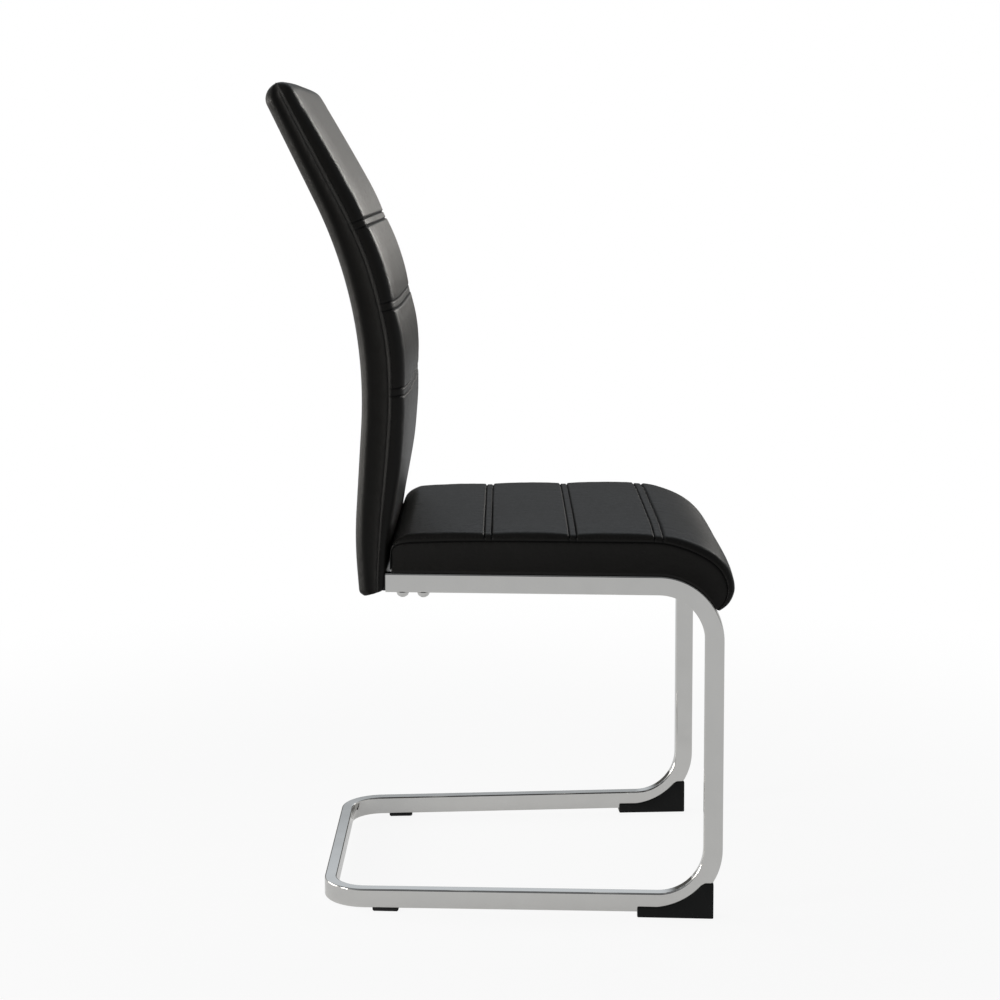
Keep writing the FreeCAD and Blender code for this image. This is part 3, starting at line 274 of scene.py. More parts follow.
class NodeBoard:
    """The node tree of a material or of the world, with short calls to add and join nodes."""

    def __init__(self, owner: bpy.types.Material | bpy.types.World) -> None:
        """Start with the output and one shader."""
        owner.use_nodes = True
        world = isinstance(owner, bpy.types.World)
        self.owner = owner
        self.nodes = owner.node_tree.nodes
        self.links = owner.node_tree.links
        self.shader = self.nodes["Background" if world else "Principled BSDF"]
        self.place = self.add("ShaderNodeTexCoord").outputs["Generated" if world else "Object"]

    @staticmethod
    def named(name: str) -> NodeBoard:
        """A board for a new material."""
        return NodeBoard(bpy.data.materials.new(name))

    def add(self, kind: str, **values: object) -> bpy.types.Node:
        """Add a node and set its properties."""
        node = self.nodes.new(kind)
        for key, value in values.items():
            setattr(node, key, value)
        return node

    def join(self, value: object, socket: bpy.types.NodeSocket) -> None:
        """Link a socket to another, or set it to a number or colour."""
        if isinstance(value, bpy.types.NodeSocket):
            self.links.new(value, socket)
        else:
            socket.default_value = (*value, 1.0) if isinstance(value, tuple) else value

    def noise(
        self, scale: float, detail: float = 2.0, roughness: float = 0.5, stretch: Triple | None = None
    ) -> bpy.types.NodeSocket:
        """Soft noise over the piece, from 0 to 1, with a pitch of one over the scale in metres."""
        node = self.add("ShaderNodeTexNoise")
        node.inputs["Scale"].default_value = scale
        node.inputs["Detail"].default_value = detail
        node.inputs["Roughness"].default_value = roughness
        place = self.place
        if stretch is not None:
            mapping = self.add("ShaderNodeMapping")
            mapping.inputs["Scale"].default_value = stretch
            self.links.new(place, mapping.inputs["Vector"])
            place = mapping.outputs["Vector"]
        self.links.new(place, node.inputs["Vector"])
        return node.outputs[0]

    def cells(self, scale: float, feature: str = "DISTANCE_TO_EDGE") -> bpy.types.NodeSocket:
        """Distance to the edges of random cells, as in pebbled leather."""
        node = self.add("ShaderNodeTexVoronoi", feature=feature)
        node.inputs["Scale"].default_value = scale
        self.links.new(self.place, node.inputs["Vector"])
        return node.outputs["Distance"]

    def axis(self, number: int) -> bpy.types.NodeSocket:
        """One coordinate of the place, or of the direction in the world."""
        node = self.add("ShaderNodeSeparateXYZ")
        self.links.new(self.place, node.inputs[0])
        return node.outputs[number]

    def ramp(
        self, value: bpy.types.NodeSocket, low: Pair, high: Pair = (0.0, 1.0), soft: bool = False
    ) -> bpy.types.NodeSocket:
        """Map a value from one range to another, held at the ends, and eased if soft."""
        node = self.add("ShaderNodeMapRange", interpolation_type="SMOOTHSTEP" if soft else "LINEAR")
        self.links.new(value, node.inputs["Value"])
        for key, number in zip(("From Min", "From Max", "To Min", "To Max"), (*low, *high)):
            node.inputs[key].default_value = number
        return node.outputs["Result"]

    def mix(self, value: object, low: object, high: object) -> bpy.types.NodeSocket:
        """A colour between two, by a value from 0 to 1.

        Args:
            value: The share of the second colour.
            low: The first colour, or a socket.
            high: The second colour, or a socket.

        Returns:
            The mixed colour.
        """
        node = self.add("ShaderNodeMix", data_type="RGBA")
        for entry, socket in ((value, node.inputs[0]), (low, node.inputs[6]), (high, node.inputs[7])):
            self.join(entry, socket)
        return node.outputs[2]

    def math(self, operation: str, *values: object) -> bpy.types.NodeSocket:
        """A sum, product or other operation on sockets and numbers."""
        node = self.add("ShaderNodeMath", operation=operation)
        for value, socket in zip(values, node.inputs):
            self.join(value, socket)
        return node.outputs[0]

    def read(self, name: str) -> bpy.types.NodeSocket:
        """A number stored on the piece's points."""
        return self.add("ShaderNodeAttribute", attribute_name=name).outputs["Fac"]

    def bump(
        self, height: bpy.types.NodeSocket, depth: float, below: bpy.types.NodeSocket | None = None
    ) -> bpy.types.NodeSocket:
        """Shade a height in metres as relief, over any relief below it."""
        node = self.add("ShaderNodeBump")
        node.inputs["Strength"].default_value = 1.0
        node.inputs["Distance"].default_value = depth
        self.links.new(height, node.inputs["Height"])
        if below is not None:
            self.links.new(below, node.inputs["Normal"])
        return node.outputs["Normal"]

    def set(self, **sockets: object) -> None:
        """Set or join sockets of the shader, named with underscores for spaces."""
        for key, value in sockets.items():
            self.join(value, self.shader.inputs[key.replace("_", " ")])


@dataclass(frozen=True)
class LeatherFinish:
    """Faux leather: fine pebbled grain, low gloss, duller in the seams and darkened there by painted shade.
    """

    name: str = "faux_leather"
    colour: Colour = (0.0044, 0.0042, 0.0039)
    worn_colour: Colour = (0.0070, 0.0066, 0.0060)
    # Painted shade: the near black that the colour darkens to along the seams.
    painted_seam_shade_colour: Colour = (0.0008, 0.0008, 0.0008)
    specular: float = 0.14
    grain: float = 1100.0
    grain_depth: float = 0.00005
    gloss: Pair = (0.36, 0.43)

    def material(self) -> bpy.types.Material:
        """Make the material."""
        board = NodeBoard.named(self.name)
        patches = board.noise(9.0, 4.0)
        crease = board.read("crease")
        colour = board.mix(patches, self.colour, self.worn_colour)
        # Painted shade: near the seams the colour darkens to a near black, by the share stored on the points.
        board.set(Base_Color=board.mix(crease, colour, self.painted_seam_shade_colour))
        mottled = board.noise(260.0, 3.0)
        gloss = board.ramp(mottled, (0.3, 0.7), self.gloss)
        board.set(Roughness=board.math("MULTIPLY_ADD", crease, 0.35, gloss))
        board.set(Specular_IOR_Level=self.specular)
        pebbles = board.ramp(board.cells(self.grain), (0.0, 0.35), (0.0, 1.0))
        grain = board.math("MULTIPLY_ADD", board.noise(3200.0), 0.35, pebbles)
        drawn = board.noise(26.0, 4.0, 0.6, (1.0, 0.22, 1.0))
        creases = board.bump(board.noise(55.0, 5.0, 0.6), 0.0003, board.bump(drawn, 0.0009))
        board.set(Normal=board.bump(grain, self.grain_depth, creases))
        return board.owner


@dataclass(frozen=True)
class ThreadFinish:
    """Black polyester thread, a little lighter than the leather."""

    name: str = "sewing_thread"

    def material(self) -> bpy.types.Material:
        """Make the material."""
        board = NodeBoard.named(self.name)
        strands = board.noise(2500.0, 1.0)
        board.set(Base_Color=board.mix(strands, (0.002, 0.002, 0.002), (0.006, 0.006, 0.006)))
        board.set(Roughness=0.6, Specular_IOR_Level=0.12)
        return board.owner


@dataclass(frozen=True)
class ChromeFinish:
    """Polished chrome plating with the faint ripple of drawn tube and fine hairlines."""

    name: str = "chrome_plate"
    colour: Colour = (0.615, 0.61, 0.595)
    hazy_colour: Colour = (0.665, 0.66, 0.645)
    gloss: Pair = (0.04, 0.09)
    ripple: float = 0.0001

    def material(self) -> bpy.types.Material:
        """Make the material."""
        board = NodeBoard.named(self.name)
        haze = board.noise(35.0, 3.0)
        board.set(Base_Color=board.mix(haze, self.colour, self.hazy_colour))
        board.set(Metallic=1.0, Roughness=board.ramp(haze, (0.35, 0.75), self.gloss))
        scratches = board.noise(900.0, stretch=(0.05, 1.0, 1.0))
        waves = board.bump(board.noise(22.0, 1.5), self.ripple)
        board.set(Normal=board.bump(scratches, 0.0000035, waves))
        return board.owner


@dataclass(frozen=True)
class PlasticFinish:
    """Moulded black plastic or rubber with a fine eroded texture."""

    name: str
    colour: Colour = (0.003, 0.0033, 0.0033)
    gloss: Pair = (0.36, 0.46)
    texture: float = 1600.0
    depth: float = 0.00003

    def material(self) -> bpy.types.Material:
        """Make the material."""
        board = NodeBoard.named(self.name)
        scuffs = board.noise(60.0, 5.0, 0.65)
        lighter = tuple(channel * 1.7 for channel in self.colour)
        board.set(Base_Color=board.mix(scuffs, self.colour, lighter), Specular_IOR_Level=0.18)
        board.set(Roughness=board.ramp(scuffs, (0.3, 0.7), self.gloss))
        board.set(Normal=board.bump(board.noise(self.texture), self.depth))
        return board.owner


@dataclass(frozen=True)
class SteelFinish:
    """Plain, zinc-plated or powder-coated steel for the pieces inside and below."""

    name: str
    colour: Colour
    metallic: float
    gloss: Pair
    spangle: float = 220.0

    def material(self) -> bpy.types.Material:
        """Make the material."""
        board = NodeBoard.named(self.name)
        clouds = board.noise(self.spangle, 3.0)
        darker = tuple(channel * 0.7 for channel in self.colour)
        board.set(Base_Color=board.mix(clouds, self.colour, darker), Metallic=self.metallic)
        board.set(Roughness=board.ramp(clouds, (0.3, 0.7), self.gloss))
        board.set(Normal=board.bump(board.noise(1400.0), 0.00002))
        return board.owner


@dataclass(frozen=True)
class FoamFinish:
    """Cut polyurethane foam: pale, matt and full of small pores."""

    name: str = "cut_foam"

    def material(self) -> bpy.types.Material:
        """Make the material."""
        board = NodeBoard.named(self.name)
        pores = board.cells(900.0, "F1")
        board.set(Base_Color=board.mix(pores, (0.42, 0.36, 0.22), (0.66, 0.6, 0.42)))
        board.set(Roughness=0.95, Normal=board.bump(pores, 0.0005))
        return board.owner


@dataclass(frozen=True)
class PlywoodFinish:
    """Birch plywood: long grain on the faces and thin dark glue lines round the edge."""

    name: str = "birch_plywood"
    ply: float = 0.0017

    def material(self) -> bpy.types.Material:
        """Make the material."""
        board = NodeBoard.named(self.name)
        grain = board.noise(60.0, 6.0, stretch=(0.06, 1.0, 1.0))
        face = board.mix(grain, (0.50, 0.34, 0.18), (0.66, 0.50, 0.30))
        layers = board.math("PINGPONG", board.axis(2), self.ply / 2)
        glue = board.ramp(layers, (0.0, self.ply / 8), (0.7, 0.0))
        board.set(Base_Color=board.mix(glue, face, (0.16, 0.09, 0.045)), Roughness=0.62)
        board.set(Normal=board.bump(grain, 0.0002))
        return board.owner


@dataclass(frozen=True)
class ClothFinish:
    """Black non-woven cloth: matt, with pressed fibres and a grid of bonding dimples."""

    name: str = "dust_cloth"

    def material(self) -> bpy.types.Material:
        """Make the material."""
        board = NodeBoard.named(self.name)
        fibres = board.noise(1500.0, 4.0, 0.7)
        board.set(Base_Color=board.mix(fibres, (0.008, 0.008, 0.0085), (0.03, 0.03, 0.031)))
        board.set(Roughness=0.95, Sheen_Weight=0.25)
        dimples = board.math("MULTIPLY_ADD", board.cells(420.0, "F1"), 0.8, fibres)
        board.set(Normal=board.bump(dimples, 0.00025))
        return board.owner


class Finishes:
    """All the chair's materials, each made once."""

    def __init__(self) -> None:
        """Make every material."""
        self.leather = LeatherFinish().material()
        # Painted shade: the seam cord is a darker, less glossy copy of the leather, so that its sunk seam
        # reads as a dark line.
        dark = (0.0012, 0.0012, 0.0012)
        self.piping = LeatherFinish("piping_leather_painted_shade", dark, dark, specular=0.06, gloss=(0.5, 0.6)).material()
        self.thread = ThreadFinish().material()
        self.chrome = ChromeFinish().material()
        self.plastic = PlasticFinish("moulded_plastic").material()
        self.rubber = PlasticFinish("pad_rubber", (0.012, 0.012, 0.0125), (0.55, 0.7)).material()
        self.zinc = SteelFinish("zinc_plate", (0.52, 0.53, 0.55), 1.0, (0.25, 0.4)).material()
        self.powder = SteelFinish("powder_coat", (0.018, 0.018, 0.019), 0.0, (0.4, 0.55), 500.0).material()
        self.weld = SteelFinish("weld_bead", (0.56, 0.56, 0.57), 1.0, (0.2, 0.38), 700.0).material()
        self.foam = FoamFinish().material()
        self.plywood = PlywoodFinish().material()
        self.cloth = ClothFinish().material()


# Shapes that more than one sub-assembly uses


@dataclass(frozen=True)
class Route:
    """Points along a path with the direction there and two directions across it."""

    points: Array
    along: Array
    across: Array
    up: Array

    def directions(self, profile: Array) -> Array:
        """A profile's widths and heights as vectors along the route: across * width + up * height."""
        return profile[..., 0:1] * self.across[:, None, :] + profile[..., 1:2] * self.up[:, None, :]

    def carry(self, profile: Array) -> Array:
        """Carry a profile along the route."""
        return self.points[:, None, :] + self.directions(profile)


def rounded_rectangle(width: float, height: float, radius: float, steps: int = 6) -> tuple[Array, Array]:
    """Outline of a rectangle with round corners, and its normals.

    Each corner is a quarter circle about a centre that lies one radius in from both sides.

    Args:
        width: Size across.
        height: Size up.
        radius: Radius of the corners.
        steps: Arc steps in a corner.

    Returns:
        Outline points and unit normals, both two coordinates each.
    """
    angles = np.arange(4)[:, None] * math.pi / 2 + np.linspace(0, math.pi / 2, steps + 1)[None, :]
    normals = np.stack((np.cos(angles), np.sin(angles)), axis=-1)
    sides = np.array(((1, 1), (-1, 1), (-1, -1), (1, -1)), dtype=float)
    centres = sides * (width / 2 - radius, height / 2 - radius)
    outline = centres[:, None, :] + normals * radius
    return outline.reshape(-1, 2), normals.reshape(-1, 2)


def bent_route(corners: Array, radii: Array, sideways: Array, straight: int = 6, bend: int = 28) -> Route:
    """A route of straight runs joined by tangent arcs.

    Each arc starts the radius times the tangent of half the turn before its corner. A point of
    it is the arc's centre, plus the radius along the turned start direction.

    Args:
        corners: Corner points, the ends among them.
        radii: A radius for each inner corner.
        sideways: For each run, the direction across it that stays level.
        straight: Points on a straight run.
        bend: Steps in an arc.

    Returns:
        The route.
    """
    points, along, across = [corners[:1]], [], []
    shares = np.linspace(0.0, 1.0, straight + 2)[1:, None]
    start = corners[0]
    for index, side in enumerate(sideways):
        into = unit(corners[index + 1] - corners[index])
        last = index == len(sideways) - 1
        if not last:
            out = unit(corners[index + 2] - corners[index + 1])
            turn = math.acos(float(np.clip(into @ out, -1, 1)))
            reach = radii[index] * math.tan(turn / 2)
        finish = corners[index + 1] - into * (0.0 if last else reach)
        count = straight + (index == 0) + last
        points.append(start + (finish - start) * (shares if last else shares[:-1]))
        along.append(np.repeat(into[None, :], count, axis=0))
        across.append(np.repeat(side[None, :], count, axis=0))
        if not last:
            inward = unit(out - into * (into @ out))
            angles = np.linspace(0.0, turn, bend + 1)[:, None]
            sine, cosine, share = np.sin(angles), np.cos(angles), angles / turn
            points.append(finish + radii[index] * (sine * into + (1 - cosine) * inward))
            along.append(cosine * into + sine * inward)
            across.append(unit(side * (1 - share) + sideways[index + 1] * share))
            start = corners[index + 1] + out * reach
    ahead, level = unit(np.concatenate(along)), np.concatenate(across)
    level = unit(level - ahead * np.einsum("ij,ij->i", level, ahead)[:, None])
    return Route(np.concatenate(points), ahead, level, np.cross(ahead, level))


def lathe(profile: Array, steps: int = 40, hexagon_rows: int = 0) -> Array:
    """Turn a profile of radius and height round the Z axis.

    The first rows may be hexagonal: their radius is divided by the cosine of the angle from the
    nearest flat.

    Args:
        profile: Rows of radius and height.
        steps: Points round.
        hexagon_rows: How many of the first rows are hexagonal.

    Returns:
        A grid of points, one row for each row of the profile.
    """
    angles = np.arange(steps) * 2 * math.pi / steps
    from_flat = (angles + math.pi / 6) % (math.pi / 3) - math.pi / 6
    radius = np.repeat(profile[:, 0:1], steps, axis=1)
    radius[:hexagon_rows] = radius[:hexagon_rows] / np.cos(from_flat)[None, :]
    heights = np.repeat(profile[:, 1:2], steps, axis=1)
    return np.stack((radius * np.cos(angles), radius * np.sin(angles), heights), axis=-1)


@dataclass(frozen=True)
class Spine:
    """Straight and round stretches of a cushion's base line, seen from the side.

    The line starts at (x, z) and heads a number of degrees from straight up towards +X. Each
    stretch is a length and the degrees that it turns.
    """

    x: float
    z: float
    heading: float
    stretches: tuple[Pair, ...]
    face_side: int

    @property
    def length(self) -> float:
        """Length of the line."""
        return sum(length for length, _ in self.stretches)

    def at(self, distance: Array) -> tuple[Array, Array, Array]:
        """Places and directions at distances from the start.

        A stretch adds a chord of twice its radius times the sine of half its turn, which heads
        along the mean of its first and last direction.

        Args:
            distance: Distances from the start.

        Returns:
            Points of the line, unit directions along it and unit directions to its face side.
        """
        x = np.full(distance.shape, self.x)
        z = np.full(distance.shape, self.z)
        heading = np.full(distance.shape, math.radians(self.heading))
        begun = 0.0
        for number, (length, turn) in enumerate(self.stretches):
            upper = np.inf if number == len(self.stretches) - 1 else length
            step = np.clip(distance - begun, 0.0, upper)
            bend = math.radians(turn) * step / length
            chord = step * np.sinc(bend / (2 * math.pi))
            x = x + chord * np.sin(heading + bend / 2)
            z = z + chord * np.cos(heading + bend / 2)
            heading = heading + bend
            begun += length
        nothing = np.zeros_like(x)
        along = np.stack((np.sin(heading), nothing, np.cos(heading)), axis=-1)
        face = np.stack((np.cos(heading), nothing, -np.sin(heading)), axis=-1) * self.face_side
        return np.stack((x, nothing, z), axis=-1), along, face


@dataclass(frozen=True)
class Channels:
    """Sewn channels across a cushion: pairs of seams that draw the cover down."""

    first: float
    pitch: float
    count: int
    seam_gap: float = 0.0085
    depth: float = 0.0023
    pinch: float = 0.0011
    ridge_drop: float = 0.0006
    puff: float = 0.0012

    @cached_property
    def seams(self) -> Array:
        """Distances of all seams along the cushion."""
        middles = self.first + self.pitch * np.arange(self.count)
        return np.sort(np.concatenate((middles - self.seam_gap / 2, middles + self.seam_gap / 2)))

    def closeness(self, distance: Array) -> Array:
        """Nearness to a seam: 1 on it, falling off as a bell over the width of the pinch."""
        away = np.abs(distance[..., None] - self.seams).min(axis=-1)
        return np.exp(-((away / self.pinch) ** 2))

    def drop(self, distance: Array, first_end: float, last_end: float) -> Array:
        """How far the cover is drawn down.

        Each seam is a bell of the channel's depth. The strip between two paired seams lies a
        little low, and each field between channels swells as half a sine wave.

        Args:
            distance: Distances along the cushion.
            first_end: Where the first field starts.
            last_end: Where the last field ends.

        Returns:
            Drop at each distance, negative where the field swells.
        """
        bell = self.depth * self.closeness(distance)
        pairs = self.seams.reshape(-1, 2)
        between = (distance[..., None] > pairs[:, 0]) & (distance[..., None] < pairs[:, 1])
        ridge = self.ridge_drop * between.any(axis=-1)
        edges = np.concatenate(((first_end,), self.seams, (last_end,)))
        field = np.clip(np.searchsorted(edges, distance) - 1, 0, len(edges) - 2)
        share = (distance - edges[field]) / (edges[field + 1] - edges[field])
        wide = field % 2 == 0
        swell = np.where(wide, self.puff * np.sin(np.clip(share, 0, 1) * math.pi) ** 0.7, 0.0)
        return np.maximum(bell, ridge) - swell

    def rows(self, plain: Array) -> Array:
        """Plain distances with finer ones added round each seam."""
        near = self.pinch * np.array((-2.6, -1.7, -1.1, -0.6, -0.25, 0.0, 0.25, 0.6, 1.1, 1.7, 2.6))
        extra = (self.seams[:, None] + near[None, :]).ravel()
        away = np.abs(plain[:, None] - self.seams[None, :]).min(axis=1)
        return np.unique(np.round(np.concatenate((plain[away > 2.9 * self.pinch], extra)), 6))


@dataclass(frozen=True)
class Stitching:
    """A row of thread stitches: small rounded bars half sunk in the cover."""

    length: float = 0.0034
    gap: float = 0.0012
    width: float = 0.0009
    height: float = 0.00055

    def bars(self, line: Array, normals: Array) -> tuple[Array, Array]:
        """Bars along a line.

        A bar is four rings of six points: its half width grows and shrinks as the root of one
        less the squared place along it, so its ends are round.

        Args:
            line: Points of the seam line.
            normals: The cover's outward direction at each.

        Returns:
            Points and quads of all bars.
        """
        walked = walked_along(line)
        count = max(int(walked[-1] / (self.length + self.gap)), 1)
        starts = (np.arange(count) + 0.5) * walked[-1] / count
        centre = sampled(starts, walked, line)
        out = unit(sampled(starts, walked, normals))
        along = unit(sampled(starts + 0.0005, walked, line) - sampled(starts - 0.0005, walked, line))
        out = unit(out - along * np.einsum("ij,ij->i", out, along)[:, None])
        aside = np.cross(along, out)
        places = np.array((-1.0, -0.72, 0.72, 1.0))
        swell = np.array((0.35, 1.0, 1.0, 0.35))
        sink = np.array((-0.6, 0.0, 0.0, -0.6)) * self.height
        angles = np.arange(6) * math.pi / 3
        ring_aside = np.cos(angles)[None, :] * swell[:, None] * self.width / 2
        ring_out = np.sin(angles)[None, :] * swell[:, None] * self.height + sink[:, None]
        ring_along = np.repeat((places * self.length / 2)[:, None], 6, axis=1)
        points = (
            centre[:, None, None, :]
            + along[:, None, None, :] * ring_along[None, :, :, None]
            + aside[:, None, None, :] * ring_aside[None, :, :, None]
            + out[:, None, None, :] * ring_out[None, :, :, None]
        )
        pattern = quads(4, 6, wrap_columns=True)
        ends = np.array(((3, 2, 1, 0), (5, 4, 3, 0), (18, 19, 20, 21), (18, 21, 22, 23)))
        pattern = np.concatenate((facing_out(points[0].reshape(-1, 3), pattern), ends))
        faces = (np.arange(count)[:, None, None] * 24 + pattern[None, :, :]).reshape(-1, 4)
        return points.reshape(-1, 3), faces


class StitchBook:
    """Collects rows of stitches and makes one piece of them."""

    def __init__(self, stitching: Stitching) -> None:
        """Start with no rows."""
        self.stitching = stitching
        self.points: list[Array] = []
        self.faces: list[Array] = []
        self.count = 0

    def sew(self, line: Array, normals: Array) -> None:
        """Add a row of stitches along a line on the cover."""
        points, faces = self.stitching.bars(line, normals)
        self.points.append(points)
        self.faces.append(faces + self.count)
        self.count += len(points)

    def make(self, name: str, material: bpy.types.Material) -> None:
        """Make the piece."""
        MeshMaker.add(name, np.concatenate(self.points), np.concatenate(self.faces), material, Slot.LEATHER)


@dataclass(frozen=True)
class Inflation:
    """A cloth simulation that presses a sewn sheet out from its foam.

    The seams are held. Pressure from inside and a little spare cloth make the fields between
    them swell and pucker, and no point moves further than the reach.
    """

    pressure: float = 4.0
    spare: float = 0.012
    reach: float = 0.0030
    frames: int = 20
    stiffness: float = 12.0
    bending: float = 0.6

    def heights(self, points: Array, held: Array, face: Array) -> Array:
        """Simulate a coarse sheet and measure how far it moves out.

        Args:
            points: A grid of points.
            held: True for each point that seams hold.
            face: The outward direction of each row.

        Returns:
            Height gained at each point of the grid, held within the reach.
        """
        rows, columns = points.shape[:2]
        mesh = bpy.data.meshes.new("sheet")
        mesh.from_pydata(points.reshape(-1, 3), [], skin(points, face[rows // 2])[0])
        mesh.update()
        sheet = bpy.data.objects.new("sheet", mesh)
        scene = bpy.context.scene
        scene.collection.objects.link(sheet)
        group = sheet.vertex_groups.new(name="held")
        group.add(np.flatnonzero(held).tolist(), 1.0, "REPLACE")
        cloth = sheet.modifiers.new("cloth", "CLOTH")
        settings = cloth.settings
        settings.quality = 8
        settings.mass = 0.2
        settings.tension_stiffness = self.stiffness
        settings.compression_stiffness = self.stiffness
        settings.shear_stiffness = self.stiffness / 2
        settings.bending_stiffness = self.bending
        settings.tension_damping = 15.0
        settings.air_damping = 3.0
        settings.vertex_group_mass = group.name
        settings.use_pressure = True
        settings.uniform_pressure_force = self.pressure
        settings.shrink_min = -self.spare
        settings.effector_weights.gravity = 0.0
        cloth.point_cache.frame_start = 1
        cloth.point_cache.frame_end = self.frames
        for frame in range(1, self.frames + 1):
            scene.frame_set(frame)
        shaped = sheet.evaluated_get(bpy.context.evaluated_depsgraph_get())
        after = np.empty(rows * columns * 3, np.float32)
        shaped.data.vertices.foreach_get("co", after)
        bpy.data.objects.remove(sheet)
        scene.frame_set(1)
        travel = after.reshape(rows, columns, 3) - points
        height = np.einsum("rcx,rx->rc", travel, face)
        LOG.info("sheet: simulated, furthest height %.1f mm", float(np.abs(height).max()) * 1000)
        return self.reach * np.tanh(height / self.reach)


# The chair


@dataclass(frozen=True)
class Layout:
    """Sizes that the sub-assemblies share."""

    tube_height: float = 0.023
    tube_width: float = 0.015
    tube_wall: float = 0.0015
    tube_edge: float = 0.002
    bend_radius: float = 0.0665
    base_corner_radius: float = 0.0475
    frame_width: float = 0.430
    splay: float = math.radians(3.3)
    leg_front_x: float = 0.2639
    rail_length: float = 0.405
    rail_top_z: float = 0.4155
    runner_length: float = 0.478
    runner_lift_front: float = 0.0066
    runner_lift_rear: float = 0.0039
    soft_gap: float = 0.0003

    @property
    def rail_rear_x(self) -> float:
        """Where the seat rails end."""
        return self.leg_front_x - self.rail_length

    @property
    def outer_bend_radius(self) -> float:
        """Radius of the outer side of the bends."""
        return self.bend_radius + self.tube_height / 2

    @property
    def bend_start_x(self) -> float:
        """Where rails and runners meet the bends."""
        return self.leg_front_x - self.outer_bend_radius

    @property
    def side_middle_y(self) -> float:
        """Middle of a side tube, before it is turned outwards."""
        return (self.frame_width - self.tube_width) / 2

    @property
    def seat_base_z(self) -> float:
        """Underside of the seat."""
        return self.rail_top_z + self.soft_gap

    def outer_half_width(self, x: Array | float) -> Array | float:
        """Half the distance between the outer faces of the side tubes at a place along X."""
        return self.frame_width / 2 - (self.leg_front_x - x) * math.tan(self.splay)

    def splayed(self, points: Array, side: Side = Side.LEFT) -> Array:
        """Turn points of the square side plane outwards about the leg's front edge.

        Args:
            points: Points with Y on the sitter's left.
            side: The side that they are wanted on.

        Returns:
            The turned points, mirrored for the sitter's right.
        """
        pivot = np.array((self.leg_front_x, self.frame_width / 2, 0.0))
        cosine, sine = math.cos(self.splay), math.sin(self.splay)
        turn = np.array(((cosine, -sine, 0.0), (sine, cosine, 0.0), (0.0, 0.0, 1.0)))
        turned = (points - pivot) @ turn.T + pivot
        return turned * (1.0, side.value, 1.0)


